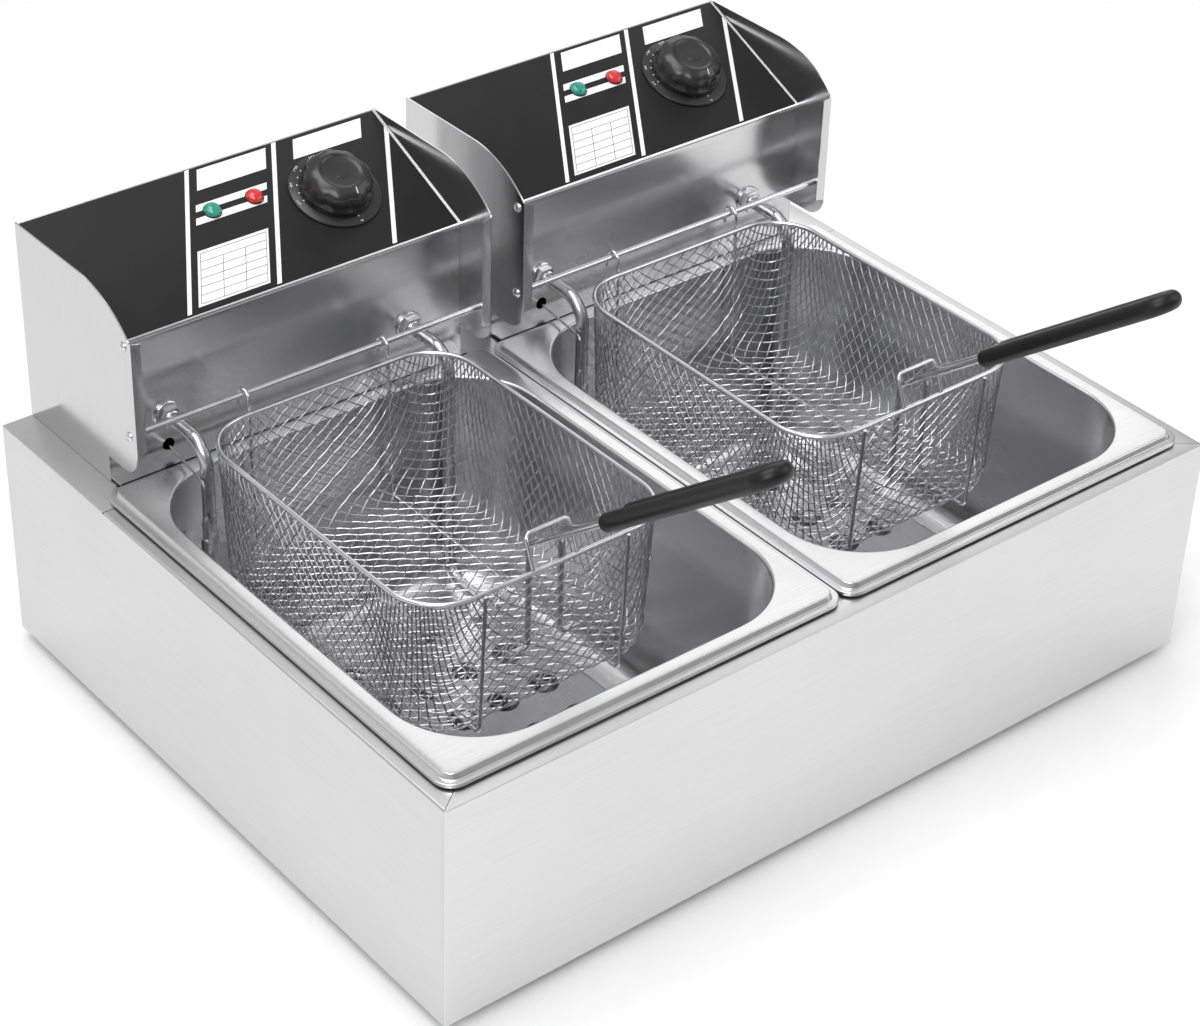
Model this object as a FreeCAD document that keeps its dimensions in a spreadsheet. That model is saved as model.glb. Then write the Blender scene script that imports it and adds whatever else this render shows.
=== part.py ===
"""Twin-tank countertop deep fryer: casing, pressed pans, lift-off control heads and wire baskets."""
import FreeCAD
import Part
import math
import os
import re
from collections import namedtuple

import Sketcher
from FreeCAD import Placement, Rotation, Vector

# Driving sizes in millimetres and degrees: name, size, what it measures
DRIVING_SIZES = [
    ("pan_width", 265, "pan flange across, a standard half-size pan"),
    ("pan_length", 325, "pan flange from front to back"),
    ("pan_depth", 147, "pan flange top to inner floor"),
    ("pan_sheet", 1, "pan wall"),
    ("pan_flange", 11.5, "flange from outer edge to opening"),
    ("pan_flange_height", 7, "flange top above the deck"),
    ("pan_rim_corner", 14, "outer corner radius of the flange"),
    ("pan_corner", 52, "corner radius of the opening"),
    ("pan_taper_angle", 1.6, "lean of the pan walls, degrees"),
    ("pan_floor_radius", 14, "inner radius between wall and floor"),
    ("pan_lip", 3, "lower lip round the edge of the flange"),
    ("pan_step", 1.4, "flange above its lip"),
    ("pan_step_angle", 40, "lean of the step between flange and lip, degrees"),
    ("pan_base_gap", 4, "pan floor above the base plate"),
    ("pan_clearance", 2, "pan wall to the edge of the deck well"),
    ("pan_gap", 7, "between the two pan flanges"),
    ("pan_side_margin", 11.5, "pan flange to casing side"),
    ("pan_front_inset", 7, "pan flange to casing front"),
    ("casing_sheet", 1, "casing wall"),
    ("seam_gap", 0.4, "open seam between folded flanges"),
    ("rail_leg", 12, "folded legs of the centre rail"),
    ("foot_height", 8, "rubber foot below the casing"),
    ("foot_radius", 14, "rubber foot at its top"),
    ("foot_taper", 2.5, "rubber foot narrower at the bottom by"),
    ("foot_inset", 45, "foot centre from the casing sides"),
    ("head_gap", 15, "pan flange to the front sheet of the head"),
    ("head_depth", 89, "front sheet to the back of the head"),
    ("head_side_gap", 8.5, "cheek face inside the side of the pan flange"),
    ("head_lift", 2, "head above the deck, on two pressed runners"),
    ("runner_width", 10, "runner under the head"),
    ("runner_inset", 20, "runner inside the edges of the head"),
    ("notch_margin", 2, "deck notch in front of the front sheet of the head"),
    ("head_sheet", 1, "head wall"),
    ("lip_height", 88.5, "folded lip of the control panel above the deck"),
    ("lip_drop", 7, "depth of the folded lip"),
    ("panel_slope", 23.4, "slope of the control panel, degrees"),
    ("overlay_thickness", 0.4, "printed sheet on the panel"),
    ("overlay_margin", 1, "bare metal round the printed sheet"),
    ("cheek_rise", 1, "cheek above the panel at the back"),
    ("cheek_reach", 31, "cheek in front of the front sheet"),
    ("cheek_arc_run", 52, "length of the curved shoulder"),
    ("cheek_arc_drop", 22.5, "fall of the curved shoulder"),
    ("cheek_return", 7, "folded front edge of the cheek"),
    ("ear_height", 16.5, "underside of the forward ear above the deck"),
    ("ear_radius", 14, "round lower corner of the ear"),
    ("rail_radius", 2, "basket rail"),
    ("rail_height", 43.5, "basket rail above the deck"),
    ("rail_setback", 24.5, "basket rail in front of the front sheet"),
    ("screw_head_radius", 3, "cheek screw head"),
    ("screw_head_height", 1.6, "cheek screw head"),
    ("screw_shank_radius", 1.5, "cheek screw shank"),
    ("screw_upper_drop", 4, "upper screw below the end of the shoulder"),
    ("fit_clearance", 0.05, "radial clearance of a close fit"),
    ("tube_radius", 4, "heating tube"),
    ("tube_hole", 5, "hole for the tube in the front sheet, radius"),
    ("tube_side_gap", 36, "tube leg to the side of the pan opening"),
    ("tube_height", 31, "tube fittings above the deck"),
    ("tube_setback", 41, "tube legs in front of the front sheet"),
    ("tube_inside", 25, "tube ends behind the front sheet"),
    ("tube_bend", 17, "bend radius of the tube"),
    ("coil_lift", 10, "tube centre above the pan floor"),
    ("coil_front_gap", 49.5, "front turns of the coil to the front of the pan opening"),
    ("coil_back", 45, "back turns of the coil from the tube legs"),
    ("coil_loops", 3, "hairpin loops of the coil"),
    ("washer_radius", 9, "washer of the tube fitting"),
    ("washer_thickness", 1.5, "washer of the tube fitting"),
    ("nut_radius", 7.5, "corner radius of the hexagonal nut"),
    ("nut_height", 6, "hexagonal nut"),
    ("capillary_hole", 4, "hole for the capillary, radius"),
    ("capillary_height", 11, "capillary above the deck"),
    ("capillary_radius", 0.75, "sensor capillary"),
    ("capillary_bend", 4, "bend of the capillary above the bulb"),
    ("bulb_radius", 2.5, "sensor bulb"),
    ("bulb_length", 52, "sensor bulb"),
    ("bulb_top", -12, "top of the sensor bulb against the deck"),
    ("bulb_offset", 8.5, "sensor bulb from the tube leg"),
    ("bulb_angle", 45, "sensor bulb round the tube leg towards the front, degrees"),
    ("clip_wall", 1, "sensor clip round the tube and bulb"),
    ("clip_height", 9, "sensor clip"),
    ("clip_drop", 14, "sensor clip below the top of the bulb"),
    ("guard_sheet", 1, "guard plate"),
    ("guard_gap", 0.3, "guard plate over the coil"),
    ("guard_inset", 2, "guard plate inside the outer runs and turns of the coil"),
    ("guard_corner", 6, "corner radius of the guard plate"),
    ("guard_hole", 9.5, "holes in the guard plate, radius"),
    ("guard_pitch", 30, "spacing of the guard holes"),
    ("dial_across", 64, "dial centre from the middle of the head"),
    ("dial_up", 50, "dial centre above the lip, along the panel"),
    ("dial_radius", 28.5, "fixed dial ring"),
    ("dial_thickness", 2.5, "fixed dial ring"),
    ("dial_bevel", 1.2, "sloped edge of the dial ring"),
    ("knob_radius", 22.5, "knob at its skirt"),
    ("knob_top_radius", 18.5, "knob at its crown"),
    ("knob_height", 20, "knob"),
    ("knob_skirt", 5, "height of the knob's skirt"),
    ("knob_lift", 0.3, "knob above the dial ring"),
    ("knob_dish", 1.2, "hollow in the crown"),
    ("knob_dish_radius", 10, "hollow in the crown"),
    ("flute_radius", 12, "finger flutes of the knob"),
    ("flute_reach", 30.5, "flute centres from the knob axis"),
    ("flute_count", 9, "finger flutes of the knob"),
    ("shaft_radius", 3, "thermostat shaft"),
    ("shaft_inside", 15, "shaft inside the thermostat"),
    ("shaft_in_knob", 12, "shaft inside the knob"),
    ("shaft_hole", 4, "hole for the shaft in panel and dial, radius"),
    ("thermostat_width", 42, "thermostat body"),
    ("thermostat_length", 36, "thermostat body"),
    ("thermostat_height", 22, "thermostat body"),
    ("lamp_up", 64, "lamps above the lip, along the panel"),
    ("green_across", -13, "green lamp from the middle of the head"),
    ("red_across", 16, "red lamp from the middle of the head"),
    ("lamp_radius", 5.75, "lamp lens"),
    ("lamp_height", 4, "lamp lens"),
    ("lamp_edge", 1, "upright edge of the lens"),
    ("lamp_facet_radius", 4.6, "lens at the break between its two slopes"),
    ("lamp_facet_height", 3.2, "lens at the break between its two slopes"),
    ("lamp_flat_radius", 2.3, "flat top of the lens"),
    ("lamp_stem_radius", 4.4, "lamp stem"),
    ("lamp_stem", 14, "lamp stem below the lens"),
    ("gland_across", -80, "cord gland from the middle of the head"),
    ("gland_height", 32, "cord gland above the deck"),
    ("gland_radius", 8, "cord gland where it passes the sheet"),
    ("gland_nut_radius", 11, "cord gland nut"),
    ("gland_nut", 5, "cord gland nut, each side of the sheet"),
    ("gland_dome", 7, "cord gland outside its nut"),
    ("gland_bore", 4, "cord gland bore, radius"),
    ("gland_tip_radius", 6, "cord gland at its outer end"),
    ("basket_side_gap", 35, "rim wire centre to the side of the pan opening"),
    ("basket_length", 218, "rim wire centres from front to back"),
    ("basket_depth", 90, "rim wire centre to mesh floor"),
    ("basket_corner", 32, "rim corner radius at the wire centre"),
    ("basket_lean", 4, "mesh wall leans in at the floor by"),
    ("basket_setback", 8, "rim in front of the basket rail"),
    ("rim_height", 34.5, "rim wire centre above the deck"),
    ("rim_radius", 1.5, "rim wire"),
    ("mesh_thickness", 1.6, "woven mesh"),
    ("mesh_cell", 26, "diagonal of a mesh opening"),
    ("mesh_bar", 3.2, "mesh left between openings"),
    ("mesh_edge", 3, "plain edge of a mesh panel"),
    ("weld_gap", 0.15, "between wires that are welded side by side"),
    ("frame_radius", 1.1, "frame wire"),
    ("frame_spread", 48.5, "frame wires from the middle of the basket"),
    ("frame_gap", 1, "frame wire outside the lower edge of the mesh"),
    ("hook_tail", 7, "hook behind the rail"),
    ("hook_gap", 0.3, "hook over the rail"),
    ("bracket_radius", 1.25, "bracket wire"),
    ("bracket_spread", 15, "bracket legs from the middle of the basket"),
    ("bracket_rise", 20, "bracket above the rim"),
    ("bracket_lean", 8, "bracket leans over the basket by"),
    ("bracket_bend", 4, "bracket corners"),
    ("handle_radius", 1.9, "handle wire"),
    ("handle_spread", 11, "handle legs from the middle of the basket"),
    ("handle_rise", 11.5, "bend of the handle above the rim"),
    ("handle_inset", 8.5, "handle legs behind the front rim"),
    ("handle_angle", 37.8, "rise of the handle, degrees"),
    ("handle_length", 217, "handle from its bend to its tip"),
    ("handle_bend", 7, "handle bend at the rim"),
    ("handle_drop", 56, "handle legs below the rim"),
    ("peg_length", 13, "pegs at the ends of the handle legs"),
    ("peg_bend", 3.5, "bend between leg and peg"),
    ("grip_radius", 5.5, "dipped grip"),
    ("grip_start", 72, "handle left bare from its bend"),
]

# Sizes that follow from the driving ones; heights are above the deck
DERIVED_SIZES = [
    ("casing_width", "2 * pan_width + pan_gap + 2 * pan_side_margin"),
    ("casing_depth", "pan_front_inset + pan_length + head_gap + head_depth"),
    ("half_width", "casing_width / 2"),
    ("half_depth", "casing_depth / 2"),
    ("casing_height", "pan_depth - pan_flange_height + pan_sheet + pan_base_gap + casing_sheet"),
    ("deck_height", "foot_height + casing_height"),
    ("unit_offset", "(pan_width + pan_gap) / 2"),
    ("pan_front", "pan_front_inset - half_depth"),
    ("pan_back", "pan_front + pan_length"),
    ("pan_middle", "(pan_front + pan_back) / 2"),
    ("pan_floor", "pan_flange_height - pan_depth"),
    ("lip_top", "pan_flange_height - pan_step"),
    ("step_inset", "pan_lip + pan_step * tan(pan_step_angle)"),
    ("opening_half_width", "pan_width / 2 - pan_flange"),
    ("opening_half_length", "pan_length / 2 - pan_flange"),
    ("well_half", "opening_half_width + pan_sheet + pan_clearance"),
    ("well_front", "pan_front + pan_flange - pan_sheet - pan_clearance"),
    ("well_back", "pan_back - pan_flange + pan_sheet + pan_clearance"),
    ("head_front", "half_depth - head_depth"),
    ("head_half", "pan_width / 2 - head_side_gap"),
    ("shell_half", "head_half - head_sheet"),
    ("panel_skew", "head_sheet / cos(panel_slope)"),
    ("panel_length", "(head_depth + head_sheet) / cos(panel_slope)"),
    ("panel_back_height", "lip_height + (head_depth + head_sheet) * tan(panel_slope)"),
    ("front_sheet_top", "lip_height + head_sheet * tan(panel_slope) - panel_skew"),
    ("back_sheet_top", "lip_height + head_depth * tan(panel_slope) - panel_skew"),
    ("cheek_top", "panel_back_height + cheek_rise"),
    ("cheek_front", "head_front - cheek_reach"),
    ("cheek_shoulder", "cheek_top - cheek_arc_drop"),
    ("cheek_arc", "(cheek_arc_run ^ 2 + cheek_arc_drop ^ 2) / (2 * cheek_arc_drop)"),
    ("rail_y", "head_front - rail_setback"),
    ("tube_y", "head_front - tube_setback"),
    ("tube_spread", "opening_half_width - tube_side_gap"),
    ("coil_front", "pan_front + pan_flange + coil_front_gap"),
    ("coil_height", "pan_floor + coil_lift"),
    ("guard_height", "coil_height + tube_radius + guard_gap"),
    ("basket_width", "2 * (opening_half_width - basket_side_gap)"),
    ("basket_back", "rail_y - basket_setback"),
    ("basket_front", "basket_back - basket_length"),
    ("basket_middle", "(basket_back + basket_front) / 2"),
    ("basket_floor", "rim_height - basket_depth"),
    ("frame_bend", "(sqrt(2) * (frame_gap + frame_radius) - frame_radius - weld_gap) / (sqrt(2) - 1)"),
]

SHEET_CELLS = "dims"
DERIVED_CELLS = "derived"
OWNERS = {name: SHEET_CELLS for name, size, note in DRIVING_SIZES}
OWNERS.update({name: DERIVED_CELLS for name, formula in DERIVED_SIZES})
FULL_TURN = 360
HALF_TURN = 180
QUARTER_TURN = 90
NUT_SIDES = 6
EDGE_TOLERANCE = 0.01
SHORTEST_RUN = 1e-6

Point = namedtuple("Point", "x y arc", defaults=(None,))
Circle = namedtuple("Circle", "x y radius")

doc = FreeCAD.newDocument("deep_fryer")
nodes = []


def bound(text):
    """Point every named size in an expression at the sheet that holds it."""
    def owned(match):
        name = match.group()
        return f"{OWNERS[name]}.{name}" if name in OWNERS else name
    return re.sub(r"[a-z][a-z_]+", owned, text)


def write_sheets():
    """Put the driving sizes and the derived ones into two sheets."""
    driving = doc.addObject("Spreadsheet::Sheet", SHEET_CELLS)
    for row, (name, size, note) in enumerate(DRIVING_SIZES, start=1):
        driving.set(f"A{row}", name)
        driving.set(f"B{row}", str(size))
        driving.set(f"C{row}", note)
        driving.setAlias(f"B{row}", name)
    derived = doc.addObject("Spreadsheet::Sheet", DERIVED_CELLS)
    for row, (name, formula) in enumerate(DERIVED_SIZES, start=1):
        derived.set(f"A{row}", name)
        derived.set(f"B{row}", f"={bound(formula)}")
        derived.setAlias(f"B{row}", name)
    doc.recompute()


def size(text):
    """Work out an expression of named sizes as a plain number."""
    return float(doc.getObject(SHEET_CELLS).evalExpression(bound(text).replace(f"{SHEET_CELLS}.", "")))


def bind(item, **expressions):
    """Bind properties of a document object to expressions of named sizes."""
    for name, text in expressions.items():
        item.setExpression(name, bound(text))


def seat(item, x="0", y="0", z="deck_height"):
    """Bind the place of a piece and keep it as a node to be written."""
    for axis, text in zip("xyz", (x, y, z)):
        item.setExpression(f"Placement.Base.{axis}", bound(text))
    nodes.append(item)


def new_body(label):
    """Start a body for one piece."""
    body = doc.addObject("PartDesign::Body", label)
    body.Label = label
    return body


def hold(sketch, kind, place, text):
    """Add one dimension to a sketch and bind it."""
    row = sketch.addConstraint(Sketcher.Constraint(kind, *place, size(text)))
    sketch.setExpression(f"Constraints[{row}]", bound(text))


def draw_outline(sketch, outline):
    """Draw a closed outline, counter-clockwise, whose points and arcs are all dimensioned."""
    spots = [Vector(size(point.x), size(point.y), 0) for point in outline]
    first = sketch.GeometryCount
    for start, stop, point in zip(spots, spots[1:] + spots[:1], outline):
        if point.arc is None:
            sketch.addGeometry(Part.LineSegment(start, stop), False)
            continue
        radius = size(point.arc)
        chord = stop - start
        rise = math.sqrt(radius ** 2 - (chord.Length / 2) ** 2)
        centre = (start + stop) / 2 + Vector(-chord.y, chord.x, 0) / chord.Length * rise
        angles = [math.atan2((spot - centre).y, (spot - centre).x) for spot in (start, stop)]
        circle = Part.Circle(centre, Vector(0, 0, 1), radius)
        sketch.addGeometry(Part.ArcOfCircle(circle, angles[0], angles[1]), False)
    count = len(outline)
    for index, point in enumerate(outline):
        edge = first + index
        following = first + (index + 1) % count
        sketch.addConstraint(Sketcher.Constraint("Coincident", edge, 2, following, 1))
        hold(sketch, "DistanceX", (edge, 1), point.x)
        hold(sketch, "DistanceY", (edge, 1), point.y)
        if point.arc is not None:
            hold(sketch, "Radius", (edge,), point.arc)


def draw(body, name, plane, loops, level):
    """Draw outlines and circles on one of the body's own planes, at a level along its axis."""
    sketch = body.newObject("Sketcher::SketchObject", name)
    origin = next(item for item in body.Origin.OriginFeatures if item.Role == plane)
    sketch.AttachmentSupport = [(origin, "")]
    sketch.MapMode = "FlatFace"
    towards = "-1" if plane == "XZ_Plane" else "1"
    sketch.setExpression("AttachmentOffset.Base.z", bound(f"{towards} * ({level})"))
    for loop in loops:
        if isinstance(loop, Circle):
            centre = Vector(size(loop.x), size(loop.y), 0)
            edge = sketch.addGeometry(Part.Circle(centre, Vector(0, 0, 1), size(loop.radius)), False)
            hold(sketch, "DistanceX", (edge, 3), loop.x)
            hold(sketch, "DistanceY", (edge, 3), loop.y)
            hold(sketch, "Radius", (edge,), loop.radius)
        else:
            draw_outline(sketch, loop)
    return sketch


def add_plate(body, name, plane, loops, start, end):
    """Pad outlines from one level to another along the plane's axis."""
    pad = body.newObject("PartDesign::Pad", name)
    pad.Profile = draw(body, f"{name}_outline", plane, loops, start)
    pad.setExpression("Length", bound(f"({end}) - ({start})"))
    pad.Reversed = plane == "XZ_Plane"
    return pad


def turn(body, name, outline):
    """Turn an outline of radius and height about the body's upright axis."""
    revolution = body.newObject("PartDesign::Revolution", name)
    revolution.Profile = draw(body, f"{name}_outline", "XZ_Plane", [outline], "0")
    revolution.ReferenceAxis = (revolution.Profile[0], ["V_Axis"])
    revolution.Angle = FULL_TURN
    return revolution


def rectangle(x_low, x_high, y_low, y_high):
    """Give the four corners of a rectangle."""
    return [Point(x_low, y_low), Point(x_high, y_low), Point(x_high, y_high), Point(x_low, y_high)]


def rounded(half_x, half_y, middle, radius):
    """Give a rounded rectangle about a point on the Y axis."""
    left, right = f"-({half_x})", f"({half_x})"
    low, high = f"({middle}) - ({half_y})", f"({middle}) + ({half_y})"
    reach = f"({radius})"
    return [
        Point(f"{left} + {reach}", low), Point(f"{right} - {reach}", low, radius),
        Point(right, f"{low} + {reach}"), Point(right, f"{high} - {reach}", radius),
        Point(f"{right} - {reach}", high), Point(f"{left} + {reach}", high, radius),
        Point(left, f"{high} - {reach}"), Point(left, f"{low} + {reach}", radius),
    ]


def keep_shape(label, shape, x="0"):
    """Keep a shape worked out from the sheet as a node of its own, in the deck's frame."""
    feature = doc.addObject("Part::Feature", label)
    feature.Label = label
    feature.Shape = shape
    seat(feature, x)
    return feature


def bent_path(corners, bends, closed=False):
    """Join corners with straight runs and tangent arcs, of one radius or of one for each bend."""
    spots = [Vector(*corner) for corner in corners]
    if closed:
        spots = [(spots[-1] + spots[0]) / 2] + spots + [(spots[-1] + spots[0]) / 2]
    radii = bends if isinstance(bends, list) else [bends] * len(spots)
    edges = []
    start = spots[0]
    for before, corner, after, bend in zip(spots, spots[1:], spots[2:], radii):
        back = (before - corner).normalize()
        ahead = (after - corner).normalize()
        half_angle = back.getAngle(ahead) / 2
        run = bend / math.tan(half_angle)
        inward = (back + ahead).normalize()
        middle = corner + inward * (bend / math.sin(half_angle) - bend)
        arc_start = corner + back * run
        arc_stop = corner + ahead * run
        if (arc_start - start).Length > SHORTEST_RUN:
            edges.append(Part.LineSegment(start, arc_start).toShape())
        edges.append(Part.Arc(arc_start, middle, arc_stop).toShape())
        start = arc_stop
    if (spots[-1] - start).Length > SHORTEST_RUN:
        edges.append(Part.LineSegment(start, spots[-1]).toShape())
    return Part.Wire(edges)


def rod(path, radius):
    """Sweep a round section along a path."""
    first = path.OrderedEdges[0]
    start = first.valueAt(first.FirstParameter)
    heading = first.tangentAt(first.FirstParameter)
    section = Part.Wire(Part.makeCircle(radius, start, heading))
    solid = path.makePipeShell([section], True, False)
    return Part.Solid(solid) if solid.ShapeType == "Shell" else solid


def casing():
    """Fold the casing's panels, deck and base, and set the feet."""
    inner_x = "unit_offset + well_half"
    front = new_body("front_panel")
    wall = rectangle("-half_width", "half_width", "-casing_height", "-casing_sheet")
    add_plate(front, "front_wall", "XZ_Plane", [wall], "-half_depth", "casing_sheet - half_depth")
    flange = [Point("-half_width", "-half_depth"), Point("half_width", "-half_depth"),
              Point(inner_x, "well_front"), Point(f"-({inner_x})", "well_front")]
    add_plate(front, "front_flange", "XY_Plane", [flange], "-casing_sheet", "0")
    seat(front)

    for side, sign in (("left", -1), ("right", 1)):
        panel = new_body(f"{side}_side_panel")
        wall = rectangle("casing_sheet - half_depth", "half_depth - casing_sheet",
                         "-casing_height", "-casing_sheet")
        outer = "-half_width" if sign < 0 else "half_width - casing_sheet"
        add_plate(panel, f"{side}_wall", "YZ_Plane", [wall], outer, f"{outer} + casing_sheet")
        corners = [Point(f"{sign} * half_width", "seam_gap - half_depth"),
                   Point(f"{sign} * half_width", "well_back - seam_gap"),
                   Point(f"{sign} * ({inner_x})", "well_back - seam_gap"),
                   Point(f"{sign} * ({inner_x})", "well_front + seam_gap")]
        add_plate(panel, f"{side}_flange", "XY_Plane", [corners], "-casing_sheet", "0")
        seat(panel)

    back = new_body("back_panel")
    wall = rectangle("-half_width", "half_width", "-casing_height", "-casing_sheet")
    add_plate(back, "back_wall", "XZ_Plane", [wall], "half_depth - casing_sheet", "half_depth")
    seat(back)

    deck = new_body("rear_deck")
    edge = "(unit_offset - well_half)"
    notch = "head_front - notch_margin"
    plate = [Point("-half_width", "well_back"), Point(f"-({inner_x})", "well_back"),
             Point(f"-({inner_x})", notch), Point(f"-{edge}", notch), Point(f"-{edge}", "well_back"),
             Point(edge, "well_back"), Point(edge, notch), Point(inner_x, notch), Point(inner_x, "well_back"),
             Point("half_width", "well_back"), Point("half_width", "half_depth"),
             Point("-half_width", "half_depth")]
    add_plate(deck, "deck_plate", "XY_Plane", [plate], "-casing_sheet", "0")
    seat(deck)

    rail = new_body("centre_rail")
    add_plate(rail, "rail_top", "XY_Plane", [rectangle(f"-{edge}", edge, "well_front", "well_back")],
              "-casing_sheet", "0")
    for name, low in (("rail_left_leg", f"-{edge}"), ("rail_right_leg", f"{edge} - casing_sheet")):
        leg = rectangle(low, f"{low} + casing_sheet", "well_front", "well_back")
        add_plate(rail, name, "XY_Plane", [leg], "-rail_leg", "-casing_sheet")
    seat(rail)

    base = new_body("base_plate")
    plate = rectangle("casing_sheet - half_width", "half_width - casing_sheet",
                      "casing_sheet - half_depth", "half_depth - casing_sheet")
    add_plate(base, "base_sheet", "XY_Plane", [plate], "-casing_height", "casing_sheet - casing_height")
    seat(base)

    feet = []
    for x_sign in (-1, 1):
        for y_sign in (-1, 1):
            foot = doc.addObject("Part::Cone", "foot")
            bind(foot, Radius1="foot_radius - foot_taper", Radius2="foot_radius", Height="foot_height")
            foot.setExpression("Placement.Base.x", bound(f"{x_sign} * (half_width - foot_inset)"))
            foot.setExpression("Placement.Base.y", bound(f"{y_sign} * (half_depth - foot_inset)"))
            feet.append(foot)
    group = doc.addObject("Part::Compound", "rubber_feet")
    group.Label = "rubber_feet"
    group.Links = feet
    nodes.append(group)


def pressed_block(label, half_x, half_y, corner, depth, floor_radius):
    """Make a solid with leaning walls and a rounded floor, hanging from the flange level."""
    body = new_body(label)
    top = rounded(half_x, half_y, "pan_middle", corner)
    block = add_plate(body, f"{label}_block", "XY_Plane", [top], "pan_flange_height", "pan_flange_height")
    block.Reversed = True
    bind(block, Length=depth, TaperAngle="-pan_taper_angle")
    doc.recompute()
    lowest = block.Shape.BoundBox.ZMin
    floor_edges = [f"Edge{index}" for index, edge in enumerate(block.Shape.Edges, start=1)
                   if edge.BoundBox.ZMax < lowest + EDGE_TOLERANCE]
    blend = body.newObject("PartDesign::Fillet", f"{label}_floor")
    blend.Base = (block, floor_edges)
    bind(blend, Radius=floor_radius)
    doc.recompute()
    return body


def pan(side, x):
    """Press one pan: leaning walls, rounded floor, flange with a stepped and turned-down edge."""
    blank = pressed_block(f"{side}_pan_blank", "opening_half_width + pan_sheet",
                          "opening_half_length + pan_sheet", "pan_corner + pan_sheet",
                          "pan_depth + pan_sheet", "pan_floor_radius + pan_sheet")
    edge, inner_edge, step, recess = (
        rounded(f"pan_width / 2 - ({inset})", f"pan_length / 2 - ({inset})", "pan_middle",
                f"pan_rim_corner - ({inset})")
        for inset in ("0", "pan_sheet", "pan_lip", "step_inset + pan_sheet / 2"))
    add_plate(blank, "lip", "XY_Plane", [edge], "lip_top - pan_sheet", "lip_top")
    raised = add_plate(blank, "raised_flange", "XY_Plane", [step], "lip_top", "pan_flange_height")
    bind(raised, TaperAngle="-pan_step_angle")
    add_plate(blank, "turned_edge", "XY_Plane", [edge, inner_edge], "0", "lip_top - pan_sheet")
    wall = rounded("opening_half_width + pan_sheet", "opening_half_length + pan_sheet", "pan_middle",
                   "pan_corner + pan_sheet")
    under = blank.newObject("PartDesign::Pocket", "under_flange")
    under.Profile = draw(blank, "under_flange_outline", "XY_Plane", [recess, wall], "lip_top - pan_sheet")
    bind(under, Length="pan_step")
    under.Reversed = True

    hollow = pressed_block(f"{side}_pan_hollow", "opening_half_width", "opening_half_length",
                           "pan_corner", "pan_depth", "pan_floor_radius")
    mouth = rounded("opening_half_width", "opening_half_length", "pan_middle", "pan_corner")
    add_plate(hollow, "mouth", "XY_Plane", [mouth], "pan_flange_height", "pan_flange_height + pan_sheet")
    pressed = doc.addObject("Part::Cut", f"{side}_pan")
    pressed.Label = f"{side}_pan"
    pressed.Base = blank
    pressed.Tool = hollow
    seat(pressed, x)


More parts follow.
